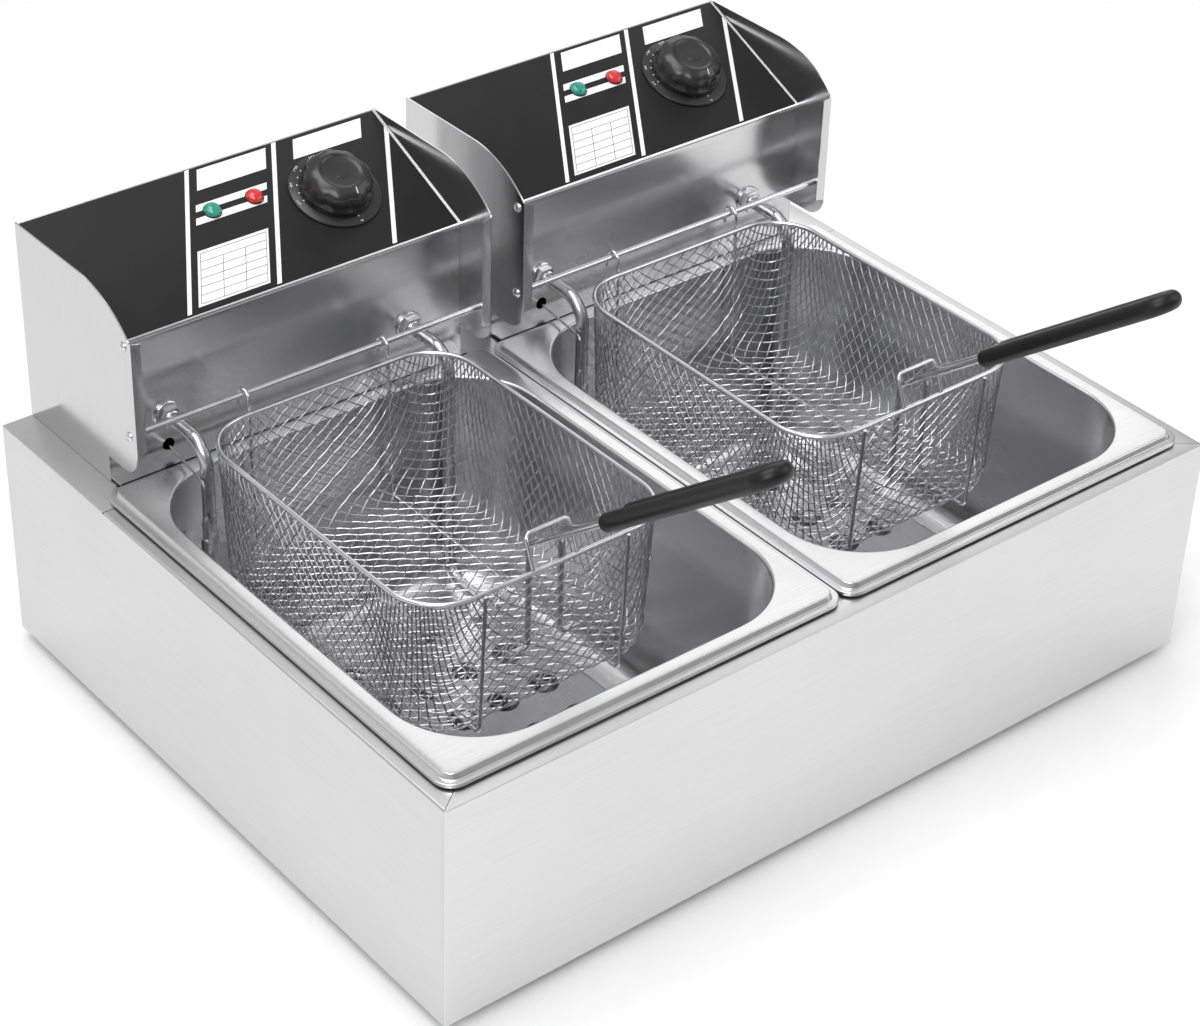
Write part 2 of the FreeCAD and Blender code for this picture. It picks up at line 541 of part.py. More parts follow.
def head_sheets(side, x):
    """Fold the head's shell and panel, and cut its two cheeks."""
    shell = new_body(f"{side}_head_shell")
    tube_holes = [Circle(f"{sign} * tube_spread", "tube_height", "tube_hole") for sign in (-1, 1)]
    front = rectangle("-shell_half", "shell_half", "head_lift", "front_sheet_top")
    capillary_hole = Circle("-tube_spread", "capillary_height", "capillary_hole")
    add_plate(shell, "front_sheet", "XZ_Plane", [front, *tube_holes, capillary_hole],
              "head_front", "head_front + head_sheet")
    floor = rectangle("-shell_half", "shell_half", "head_front", "half_depth")
    add_plate(shell, "floor_sheet", "XY_Plane", [floor], "head_lift", "head_lift + head_sheet")
    for name, low in (("left_runner", "(runner_inset - shell_half)"),
                      ("right_runner", "(shell_half - runner_inset - runner_width)")):
        runner = rectangle(low, f"{low} + runner_width", "head_front + runner_inset",
                           "half_depth - runner_inset")
        add_plate(shell, name, "XY_Plane", [runner], "0", "head_lift")
    back = rectangle("-shell_half", "shell_half", "head_lift", "back_sheet_top")
    gland_hole = Circle("gland_across", "gland_height", "gland_radius + fit_clearance")
    add_plate(shell, "back_sheet", "XZ_Plane", [back, gland_hole], "half_depth - head_sheet", "half_depth")
    seat(shell, x)

    panel = new_body(f"{side}_panel_blank")
    section = [Point("head_front - head_sheet", "lip_height - lip_drop"),
               Point("head_front", "lip_height - lip_drop"),
               Point("head_front", "front_sheet_top"), Point("half_depth", "panel_back_height - panel_skew"),
               Point("half_depth", "panel_back_height"), Point("head_front - head_sheet", "lip_height")]
    add_plate(panel, "panel_sheet", "YZ_Plane", [section], "-shell_half", "shell_half")
    panel.setExpression("Placement.Base.x", bound(x))
    panel.setExpression("Placement.Base.z", bound("deck_height"))
    drills = [panel_cylinder(x, across, up, radius, "-lip_drop", "2 * lip_drop")
              for across, up, radius in panel_holes()]
    pierced = doc.addObject("Part::MultiFuse", f"{side}_panel_drills")
    pierced.Shapes = drills
    cut = doc.addObject("Part::Cut", f"{side}_control_panel")
    cut.Label = f"{side}_control_panel"
    cut.Base = panel
    cut.Tool = pierced
    nodes.append(cut)

    for hand, sign in (("left", -1), ("right", 1)):
        cheek = new_body(f"{side}_cheek_{hand}")
        holes = [Circle("rail_y", "rail_height", "screw_shank_radius + fit_clearance"),
                 Circle("rail_y", "cheek_shoulder - screw_upper_drop", "screw_shank_radius + fit_clearance")]
        outline = [Point("head_front", "head_lift"), Point("half_depth", "head_lift"),
                   Point("half_depth", "cheek_top"),
                   Point("cheek_front + cheek_arc_run", "cheek_top", "cheek_arc"),
                   Point("cheek_front", "cheek_shoulder"),
                   Point("cheek_front", "ear_height + ear_radius", "ear_radius"),
                   Point("cheek_front + ear_radius", "ear_height"), Point("head_front", "ear_height")]
        low = "-head_half" if sign < 0 else "shell_half"
        add_plate(cheek, f"{hand}_sheet", "YZ_Plane", [outline, *holes], low, f"{low} + head_sheet")
        fold = "-shell_half" if sign < 0 else "shell_half - cheek_return"
        edge = rectangle(fold, f"{fold} + cheek_return", "cheek_front", "cheek_front + head_sheet")
        add_plate(cheek, f"{hand}_return", "XY_Plane", [edge],
                  "ear_height + ear_radius", "cheek_shoulder - head_sheet")
        seat(cheek, x)


def panel_holes():
    """List the holes of the control panel: across, up the slope, radius."""
    lamp_hole = "lamp_stem_radius + fit_clearance"
    return [("dial_across", "dial_up", "shaft_hole"), ("green_across", "lamp_up", lamp_hole),
            ("red_across", "lamp_up", lamp_hole)]


def seat_on_panel(item, x, across, up, above="0"):
    """Set a piece square to the control panel, at a place along its face and above it."""
    item.Placement = Placement(Vector(), Rotation(Vector(1, 0, 0), size("panel_slope")))
    item.setExpression("Placement.Base.x", bound(f"{x} + {across}"))
    run = f"({up}) * cos(panel_slope) - ({above}) * sin(panel_slope)"
    rise = f"({up}) * sin(panel_slope) + ({above}) * cos(panel_slope)"
    item.setExpression("Placement.Base.y", bound(f"head_front - head_sheet + {run}"))
    item.setExpression("Placement.Base.z", bound(f"deck_height + lip_height + {rise}"))


def panel_cylinder(x, across, up, radius, above, height):
    """Make a cylinder square to the control panel."""
    cylinder = doc.addObject("Part::Cylinder", "panel_cylinder")
    bind(cylinder, Radius=radius, Height=height)
    seat_on_panel(cylinder, x, across, up, above)
    return cylinder


def panel_fittings(side, x):
    """Dress the control panel: printed sheet, dial, knob and its shaft, thermostat, lamps."""
    overlay = new_body(f"{side}_panel_overlay")
    sheet = rectangle("overlay_margin - shell_half", "shell_half - overlay_margin",
                      "overlay_margin + head_sheet", "panel_length - overlay_margin")
    holes = [Circle(*hole) for hole in panel_holes()]
    add_plate(overlay, "printed_sheet", "XY_Plane", [sheet, *holes], "0", "overlay_thickness")
    seat_on_panel(overlay, x, "0", "0")
    nodes.append(overlay)

    ring = new_body(f"{side}_dial_ring")
    turn(ring, "ring", [
        Point("shaft_hole", "0"), Point("dial_radius", "0"),
        Point("dial_radius", "dial_thickness - dial_bevel"),
        Point("dial_radius - 2 * dial_bevel", "dial_thickness"), Point("shaft_hole", "dial_thickness")])
    seat_on_panel(ring, x, "dial_across", "dial_up", "overlay_thickness")
    nodes.append(ring)

    knob = new_body(f"{side}_knob")
    bore = "shaft_radius + fit_clearance"
    turn(knob, "crown", [
        Point(bore, "0"), Point("knob_radius", "0"), Point("knob_radius", "knob_skirt"),
        Point("knob_top_radius", "knob_height"), Point("knob_dish_radius", "knob_height"),
        Point("knob_dish_radius - knob_dish", "knob_height - knob_dish"),
        Point("0", "knob_height - knob_dish"), Point("0", "shaft_in_knob"), Point(bore, "shaft_in_knob")])
    flute = knob.newObject("PartDesign::Pocket", "flute")
    hollow = Circle("flute_reach", "0", "flute_radius")
    flute.Profile = draw(knob, "flute_outline", "XY_Plane", [hollow], "knob_skirt")
    bind(flute, Length="knob_height")
    flute.Reversed = True
    flutes = knob.newObject("PartDesign::PolarPattern", "flutes")
    flutes.Originals = [flute]
    flutes.Axis = (flute.Profile[0], ["N_Axis"])
    flutes.Angle = FULL_TURN
    flutes.setExpression("Occurrences", bound("round(flute_count)"))
    knob.Tip = flutes
    knob_base = "overlay_thickness + dial_thickness + knob_lift"
    seat_on_panel(knob, x, "dial_across", "dial_up", knob_base)
    nodes.append(knob)

    shaft = panel_cylinder(x, "dial_across", "dial_up", "shaft_radius", "-panel_skew - shaft_inside",
                           f"panel_skew + shaft_inside + {knob_base} + shaft_in_knob")
    shaft.Label = f"{side}_knob_shaft"
    nodes.append(shaft)

    thermostat = new_body(f"{side}_thermostat")
    case = rectangle("-thermostat_width / 2", "thermostat_width / 2",
                     "-thermostat_length / 2", "thermostat_length / 2")
    add_plate(thermostat, "thermostat_case", "XY_Plane", [case],
              "-head_sheet - thermostat_height", "-head_sheet")
    bore_cut = thermostat.newObject("PartDesign::Pocket", "shaft_bore")
    bore_cut.Profile = draw(thermostat, "bore_outline", "XY_Plane", [Circle("0", "0", bore)], "-head_sheet")
    bind(bore_cut, Length="shaft_inside + head_sheet")
    seat_on_panel(thermostat, x, "dial_across", "dial_up")
    nodes.append(thermostat)

    for colour in ("green", "red"):
        lamp = new_body(f"{side}_{colour}_lamp")
        turn(lamp, f"{colour}_lens", [
            Point("0", "-lamp_stem"), Point("lamp_stem_radius", "-lamp_stem"), Point("lamp_stem_radius", "0"),
            Point("lamp_radius", "0"), Point("lamp_radius", "lamp_edge"),
            Point("lamp_facet_radius", "lamp_facet_height"), Point("lamp_flat_radius", "lamp_height"),
            Point("0", "lamp_height")])
        seat_on_panel(lamp, x, f"{colour}_across", "lamp_up", "overlay_thickness")
        nodes.append(lamp)


def turned_copies(label, x, outline, places):
    """Turn one small piece and set a group of copies of it."""
    body = new_body(f"{label}_pattern")
    turn(body, f"{label}_turning", outline)
    doc.recompute()
    copies = []
    for place in places:
        copy = body.Shape.copy()
        copy.Placement = place
        copies.append(copy)
    keep_shape(label, Part.makeCompound(copies), x)


def head_hardware(side, x):
    """Fit the basket rail, cheek screws, heating element and fittings, sensor, guard and cord gland."""
    rail = doc.addObject("Part::Cylinder", f"{side}_basket_rail")
    rail.Label = f"{side}_basket_rail"
    bind(rail, Radius="rail_radius", Height="2 * shell_half")
    rail.Placement = Placement(Vector(), Rotation(Vector(0, 1, 0), QUARTER_TURN))
    seat(rail, f"{x} - shell_half", "rail_y", "deck_height + rail_height")

    screw = [Point("0", "-head_sheet"), Point("screw_shank_radius", "-head_sheet"),
             Point("screw_shank_radius", "0"), Point("screw_head_radius", "0"),
             Point("screw_head_radius", "screw_head_height / 2"),
             Point("screw_head_radius / 2", "screw_head_height"), Point("0", "screw_head_height")]
    outward = {sign: Rotation(Vector(0, 1, 0), sign * QUARTER_TURN) for sign in (-1, 1)}
    places = [Placement(Vector(sign * size("head_half"), size("rail_y"), size(height)), outward[sign])
              for sign in (-1, 1) for height in ("rail_height", "cheek_shoulder - screw_upper_drop")]
    turned_copies(f"{side}_cheek_screws", x, screw, places)

    keep_shape(f"{side}_heating_element", heating_element(), x)

    washer = Part.makeCylinder(size("washer_radius"), size("washer_thickness"))
    nut_radius, nut_base = size("nut_radius"), size("washer_thickness")
    angles = [math.radians(FULL_TURN * face / NUT_SIDES) for face in range(NUT_SIDES + 1)]
    corners = [Vector(nut_radius * math.cos(angle), nut_radius * math.sin(angle), nut_base)
               for angle in angles]
    nut = Part.Face(Part.makePolygon(corners)).extrude(Vector(0, 0, size("nut_height")))
    hole = Part.makeCylinder(size("tube_radius + fit_clearance"), size("washer_thickness + nut_height"))
    fitting = washer.fuse(nut).cut(hole).removeSplitter()
    fittings = []
    for sign in (-1, 1):
        spot = Vector(sign * size("tube_spread"), size("head_front"), size("tube_height"))
        copy = fitting.copy()
        copy.Placement = Placement(spot, Rotation(Vector(1, 0, 0), QUARTER_TURN))
        fittings.append(copy)
    keep_shape(f"{side}_element_fittings", Part.makeCompound(fittings), x)

    sensor(side, x)
    guard_plate(side, x)

    gland = new_body(f"{side}_cord_gland")
    turn(gland, "gland", [
        Point("gland_bore", "-head_sheet - gland_nut"), Point("gland_nut_radius", "-head_sheet - gland_nut"),
        Point("gland_nut_radius", "-head_sheet"), Point("gland_radius", "-head_sheet"),
        Point("gland_radius", "0"), Point("gland_nut_radius", "0"), Point("gland_nut_radius", "gland_nut"),
        Point("gland_radius", "gland_nut"), Point("gland_tip_radius", "gland_nut + gland_dome"),
        Point("gland_bore", "gland_nut + gland_dome")])
    gland.Placement = Placement(Vector(), Rotation(Vector(1, 0, 0), -QUARTER_TURN))
    seat(gland, f"{x} + gland_across", "half_depth", "deck_height + gland_height")


def heating_element():
    """Bend the tube: through the front sheet, down into the pan, in loops over its floor, back up."""
    spread, leg_y, top = size("tube_spread"), size("tube_y"), size("tube_height")
    low, inside = size("coil_height"), size("head_front + tube_inside")
    front, back = size("coil_front"), leg_y - size("coil_back")
    turns = 2 * round(size("coil_loops")) - 1
    pitch = 2 * spread / turns
    corners = [(-spread, inside, top), (-spread, leg_y, top), (-spread, leg_y, low)]
    for index in range(turns):
        turn_y = front if index % 2 == 0 else back
        near = -spread + index * pitch
        corners += [(near, turn_y, low), (near + pitch, turn_y, low)]
    corners += [(spread, leg_y, low), (spread, leg_y, top), (spread, inside, top)]
    bend = min(size("tube_bend"), pitch / 2)
    return rod(bent_path(corners, bend), size("tube_radius"))


def sensor(side, x):
    """Make the sensor bulb with its capillary, and the clip that holds it to the tube leg."""
    tube_x, bulb_x = -size("tube_spread"), -size("tube_spread + bulb_offset * cos(bulb_angle)")
    bulb_y = size("tube_y - bulb_offset * sin(bulb_angle)")
    level, top = size("capillary_height"), size("bulb_top")
    bottom = Vector(bulb_x, bulb_y, top - size("bulb_length"))
    bulb = Part.makeCylinder(size("bulb_radius"), size("bulb_length"), bottom)
    path = bent_path([(tube_x, size("head_front + 2 * head_sheet"), level), (bulb_x, bulb_y, level),
                      (bulb_x, bulb_y, top)], size("capillary_bend"))
    keep_shape(f"{side}_sensor_bulb", bulb.fuse(rod(path, size("capillary_radius"))).removeSplitter(), x)

    clip = new_body(f"{side}_sensor_clip")
    tube_end, bulb_end = "(tube_radius + clip_wall)", "(bulb_radius + clip_wall)"
    far = f"bulb_offset + {bulb_end}"
    outline = [Point("0", f"-{tube_end}"), Point("bulb_offset", f"-{bulb_end}"),
               Point(far, "-bulb_radius / 2"), Point(far, "bulb_radius / 2"), Point("bulb_offset", bulb_end),
               Point("0", tube_end), Point(f"-{tube_end}", "tube_radius / 2"),
               Point(f"-{tube_end}", "-tube_radius / 2")]
    holes = [Circle("0", "0", "tube_radius + fit_clearance"),
             Circle("bulb_offset", "0", "bulb_radius + fit_clearance")]
    add_plate(clip, "clip_strap", "XY_Plane", [outline, *holes], "bulb_top - clip_drop - clip_height",
              "bulb_top - clip_drop")
    clip.Placement = Placement(Vector(), Rotation(Vector(0, 0, 1), HALF_TURN + size("bulb_angle")))
    seat(clip, f"{x} - tube_spread", "tube_y")


def guard_plate(side, x):
    """Punch the loose guard plate that lies on the coil."""
    body = new_body(f"{side}_guard_plate")
    front, back = "(coil_front + guard_inset)", "(tube_y - coil_back - guard_inset)"
    middle, half_length = f"({front} + {back}) / 2", f"({back} - {front}) / 2"
    columns = int(2 * size("tube_spread - guard_inset") / size("guard_pitch"))
    rows = int(2 * size(half_length) / size("guard_pitch"))
    holes = [Circle(f"guard_pitch * {column - (columns - 1) / 2}",
                    f"{middle} + guard_pitch * {row - (rows - 1) / 2}", "guard_hole")
             for column in range(columns) for row in range(rows)]
    plate = rounded("tube_spread - guard_inset", half_length, middle, "guard_corner")
    add_plate(body, "guard_sheet_plate", "XY_Plane", [plate, *holes], "guard_height",
              "guard_height + guard_sheet")
    seat(body, x)


def diamonds(width, height, cell, bar, edge):
    """List the centres of the mesh openings that fit in a panel, in a half-step lattice."""
    half_diagonal = (cell - bar) / 2
    step = cell / 2
    columns = int((width / 2 - edge - half_diagonal) / step)
    rows = int((height / 2 - edge - half_diagonal) / step)
    return [(column * step, row * step) for column in range(-columns, columns + 1)
            for row in range(-rows, rows + 1) if (column + row) % 2 == 0]


def opening_prism(centre, across, up, through, half_diagonal, depth):
    """Make the prism that cuts one mesh opening."""
    corners = [centre + across * half_diagonal, centre + up * half_diagonal, centre - across * half_diagonal,
               centre - up * half_diagonal, centre + across * half_diagonal]
    face = Part.Face(Part.makePolygon([corner - through * depth / 2 for corner in corners]))
    return face.extrude(through * depth)


def basket_mesh():
    """Press the mesh: a floor, four leaning walls and four coned corners, pierced in a diagonal lattice."""
    half_x, corner, lean = size("basket_width / 2"), size("basket_corner"), size("basket_lean")
    half_y, middle = size("basket_length / 2"), size("basket_middle")
    low, high = size("basket_floor"), size("rim_height - rim_radius - weld_gap")
    thick, cell, bar, edge = (size(name) for name in ("mesh_thickness", "mesh_cell", "mesh_bar", "mesh_edge"))
    half_diagonal = (cell - bar) / 2
    depth = 2 * (lean + thick)
    upright = Vector(0, 0, 1)
    section = [(corner - lean - thick / 2, low), (corner - lean + thick / 2, low),
               (corner + thick / 2, high), (corner - thick / 2, high)]
    pieces = []
    for quarter in range(4):
        out = Vector(round(math.cos(quarter * math.pi / 2)), round(math.sin(quarter * math.pi / 2)), 0)
        along = upright.cross(out)
        flat = 2 * ((half_y if quarter % 2 == 0 else half_x) - corner)
        reach = (half_x if quarter % 2 == 0 else half_y) - corner
        origin = Vector(0, middle, 0) + out * reach
        corners = [origin + out * radius + upright * height - along * flat / 2 for radius, height in section]
        wall = Part.Face(Part.makePolygon(corners + corners[:1])).extrude(along * flat)
        centre = origin + out * (corner - lean / 2) + upright * (low + high) / 2
        cuts = [opening_prism(centre + along * u + upright * v, along, upright, out, half_diagonal, depth)
                for u, v in diamonds(flat, high - low, cell, bar, edge)]
        pieces.append(wall.cut(Part.makeCompound(cuts)))

        axis = origin + along * flat / 2
        corners = [axis + out * radius + upright * height for radius, height in section]
        face = Part.Face(Part.makePolygon(corners + corners[:1]))
        cone = face.revolve(axis, upright, QUARTER_TURN)
        span = (corner - lean) * math.pi / 2
        cuts = []
        for u, v in diamonds(span, high - low, cell, bar, edge):
            angle = math.pi / 4 + u / span * math.pi / 2
            radial = out * math.cos(angle) + along * math.sin(angle)
            spot = axis + radial * (corner - lean / 2) + upright * ((low + high) / 2 + v)
            cuts.append(opening_prism(spot, upright.cross(radial), upright, radial, half_diagonal, depth))
        pieces.append(cone.cut(Part.makeCompound(cuts)))

    floor_x, floor_y = half_x - lean + thick / 2, half_y - lean + thick / 2
    floor_corner = corner - lean + thick / 2
    floor_path = bent_path([(-floor_x, middle - floor_y, low), (floor_x, middle - floor_y, low),
                            (floor_x, middle + floor_y, low), (-floor_x, middle + floor_y, low)],
                           floor_corner, True)
    floor = Part.Face(floor_path).extrude(Vector(0, 0, -thick))
    inset = floor_corner * (1 - math.cos(math.pi / 4))
    across, ahead = Vector(1, 0, 0), Vector(0, 1, 0)
    cuts = [opening_prism(Vector(u, middle + v, low), across, ahead, upright, half_diagonal, depth)
            for u, v in diamonds(2 * floor_x, 2 * floor_y, cell, bar, edge)
            if abs(u) + half_diagonal < floor_x - inset or abs(v) + half_diagonal < floor_y - inset]
    pieces.append(floor.cut(Part.makeCompound(cuts)))
    return Part.makeCompound([solid for piece in pieces for solid in piece.Solids])


def frame_wire(across):
    """Bend one frame wire: hook over the rail, down the back wall, under the floor, up to the front rim."""
    radius, rim = size("frame_radius"), size("rim_height")
    outside = size("rim_radius + weld_gap") + radius
    rail_y, rail_z = size("rail_y"), size("rail_height")
    back, front = size("basket_back") + outside, size("basket_front") - outside
    hook = rail_y - back
    crown = rail_z + size("rail_radius + hook_gap") + radius
    floor = size("basket_floor - mesh_thickness - frame_gap") - radius
    inset = size("basket_lean - mesh_thickness / 2 - frame_gap") - radius
    low_back, low_front = size("basket_back") - inset, size("basket_front") + inset
    spots = [(across, rail_y + hook, crown - hook - size("hook_tail")), (across, rail_y + hook, crown),
             (across, back, crown), (across, back, rim), (across, low_back, floor),
             (across, low_front, floor), (across, front, rim)]
    bend = size("frame_bend")
    return rod(bent_path(spots, [hook, hook, bend, bend, bend]), radius)


def handle_path():
    """Give the handle's corners from one peg, up the leg, out to the tip and back to the other peg."""
    spread, bend_y = size("handle_spread"), size("basket_front + handle_inset")
    bend_z, low = size("rim_height + handle_rise"), size("rim_height - handle_drop")
    slope = math.radians(size("handle_angle"))
    tip_y = bend_y - size("handle_length") * math.cos(slope)
    tip_z = bend_z + size("handle_length") * math.sin(slope)
    peg = spread + size("peg_length")
    return [(-peg, bend_y, low), (-spread, bend_y, low), (-spread, bend_y, bend_z), (-spread, tip_y, tip_z),
            (spread, tip_y, tip_z), (spread, bend_y, bend_z), (spread, bend_y, low), (peg, bend_y, low)]


def basket(side, x):
    """Assemble one basket: mesh, rim, frame wires, bracket, handle and grip."""
    keep_shape(f"{side}_basket_mesh", basket_mesh(), x)

    half_x, rim = size("basket_width / 2"), size("rim_height")
    front, back = size("basket_front"), size("basket_back")
    loop = bent_path([(-half_x, front, rim), (half_x, front, rim), (half_x, back, rim), (-half_x, back, rim)],
                     size("basket_corner"), True)
    keep_shape(f"{side}_basket_rim", rod(loop, size("rim_radius")), x)

    wires = [frame_wire(sign * size("frame_spread")) for sign in (-1, 1)]
    keep_shape(f"{side}_basket_frame", Part.makeCompound(wires), x)

    spread, foot = size("bracket_spread"), rim + size("rim_radius + weld_gap")
    top, top_y = rim + size("bracket_rise"), front + size("bracket_lean")
    staple = bent_path([(-spread, front, foot), (-spread, top_y, top),
                        (spread, top_y, top), (spread, front, foot)], size("bracket_bend"))
    keep_shape(f"{side}_handle_bracket", rod(staple, size("bracket_radius")), x)

    corners = handle_path()
    peg, knee, bow = size("peg_bend"), size("handle_bend"), size("handle_spread")
    wire = bent_path(corners, [peg, knee, bow, bow, knee, peg])
    keep_shape(f"{side}_handle_wire", rod(wire, size("handle_radius")), x)

    share = size("grip_start") / size("handle_length")
    starts = [between(corners[2], corners[3], share), between(corners[5], corners[4], share)]
    sleeve = bent_path([starts[0], corners[3], corners[4], starts[1]], bow)
    grip = rod(sleeve, size("grip_radius")).cut(rod(sleeve, size("handle_radius + fit_clearance")))
    keep_shape(f"{side}_handle_grip", grip, x)


def between(start, stop, share):
    """Give the point a share of the way from one point to another."""
    return tuple(a + (b - a) * share for a, b in zip(start, stop))


def check_and_write():
    """Stop on any failed object or bad shape, then write every node."""
    doc.recompute()
    failed = [item.Label for item in doc.Objects if {"Invalid", "Error"} & set(item.State)]
    if failed:
        raise RuntimeError(f"failed objects: {failed}")
    for node in nodes:
        if node.Shape.isNull() or not node.Shape.isValid() or not node.Shape.Solids:
            raise RuntimeError(f"bad shape: {node.Label}")
    os.makedirs("parts", exist_ok=True)
    for node in nodes:
        node.Shape.exportStep(f"parts/{node.Label}.step")
    print(f"{len(nodes)} nodes written")


write_sheets()
casing()
for unit_side, unit_sign in (("left", "-"), ("right", "")):
    unit_x = f"{unit_sign}unit_offset"
    pan(unit_side, unit_x)
    head_sheets(unit_side, unit_x)
    panel_fittings(unit_side, unit_x)
    head_hardware(unit_side, unit_x)
    basket(unit_side, unit_x)
check_and_write()
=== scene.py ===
"""Looks of a twin-tank countertop deep fryer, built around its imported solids."""
import logging
import math
from dataclasses import dataclass
from enum import Enum
from typing import Any, Callable, ClassVar, Iterable, Sequence

import bmesh
import bpy
import numpy as np
from bmesh.types import BMesh, BMVert
from mathutils import Matrix, Vector


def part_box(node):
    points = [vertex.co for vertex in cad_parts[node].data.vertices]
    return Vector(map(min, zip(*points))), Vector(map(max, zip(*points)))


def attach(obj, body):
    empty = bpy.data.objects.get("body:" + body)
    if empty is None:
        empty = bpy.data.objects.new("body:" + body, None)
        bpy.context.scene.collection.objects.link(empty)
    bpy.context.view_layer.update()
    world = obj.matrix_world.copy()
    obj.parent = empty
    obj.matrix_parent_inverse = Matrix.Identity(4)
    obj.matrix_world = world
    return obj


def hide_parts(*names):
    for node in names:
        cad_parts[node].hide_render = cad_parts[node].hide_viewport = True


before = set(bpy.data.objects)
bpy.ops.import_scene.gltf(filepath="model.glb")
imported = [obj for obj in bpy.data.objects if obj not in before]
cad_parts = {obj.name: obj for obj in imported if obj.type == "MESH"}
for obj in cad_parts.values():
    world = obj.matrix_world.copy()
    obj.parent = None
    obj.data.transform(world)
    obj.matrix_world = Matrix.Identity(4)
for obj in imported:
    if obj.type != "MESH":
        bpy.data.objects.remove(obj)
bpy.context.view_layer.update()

MM = 0.001
MERGE = 1e-3
GRAIN_DEPTH = 0.0001
PORE_DEPTH = 0.0002
WIPED_PATCH = 38.0
LENS_PATCH = 420.0
log = logging.getLogger("fryer")


class Side(Enum):
    """The two units of the fryer, as seen by its user."""

    LEFT = "left"
    RIGHT = "right"


class Grain(Enum):
    """Which way a sheet was brushed, as the stretch of its streaks for each axis."""

    ALONG_X = (14.0, 900.0, 900.0)
    ALONG_Y = (900.0, 14.0, 900.0)
    ALONG_Z = (900.0, 900.0, 14.0)
    EVEN = (420.0, 420.0, 420.0)


Colour = tuple[float, float, float]
Socket = bpy.types.NodeSocket


class Tree:
    """Adds nodes to one shader tree, with their inputs set or linked by name."""

    def __init__(self, tree: bpy.types.NodeTree) -> None:
        """Keeps the tree that nodes are added to."""
        self.tree = tree

    def add(self, kind: str, settings: dict[str, Any] | None = None, **inputs: Any) -> bpy.types.Node:
        """Adds a node.

        Args:
            kind: The node's type name.
            settings: The node's own properties.
            inputs: A value or an output socket for each named input, with _ for a space.

        Returns:
            The new node.
        """
        node = self.tree.nodes.new(kind)
        for name, value in (settings or {}).items():
            setattr(node, name, value)
        for name, value in inputs.items():
            self.feed(node.inputs[name.replace("_", " ")], value)
        return node

    def feed(self, socket: Socket, value: Any) -> None:
        """Links an output to a socket, or sets its value."""
        if isinstance(value, Socket):
            self.tree.links.new(value, socket)
        else:
            socket.default_value = value

    def mix(self, factor: Any, first: Any, second: Any) -> Socket:
        """Mixes two colours.

        Args:
            factor: The share of the second colour.
            first: The colour at a factor of 0.
            second: The colour at a factor of 1.

        Returns:
            The mixed colour's socket.
        """
        node = self.tree.nodes.new("ShaderNodeMix")
        node.data_type = "RGBA"
        for index, value in ((0, factor), (6, first), (7, second)):
            self.feed(node.inputs[index], value)
        return node.outputs[2]

    def maths(self, operation: str, first: Any, second: Any) -> Socket:
        """Reckons with two values.

        Args:
            operation: What the Math node does.
            first: A value or an output socket.
            second: A value or an output socket.

        Returns:
            The result's socket.
        """
        node = self.add("ShaderNodeMath", {"operation": operation})
        self.feed(node.inputs[0], first)
        self.feed(node.inputs[1], second)
        return node.outputs[0]

    def spread(self, value: Any, low: float, high: float) -> Socket:
        """Spreads a mask over a range of values.

        Args:
            value: The mask, from 0 to 1.
            low: What 0 becomes.
            high: What 1 becomes.

        Returns:
            The spread value's socket.
        """
        node = self.add("ShaderNodeMapRange", Value=value, To_Min=low, To_Max=high)
        return node.outputs["Result"]


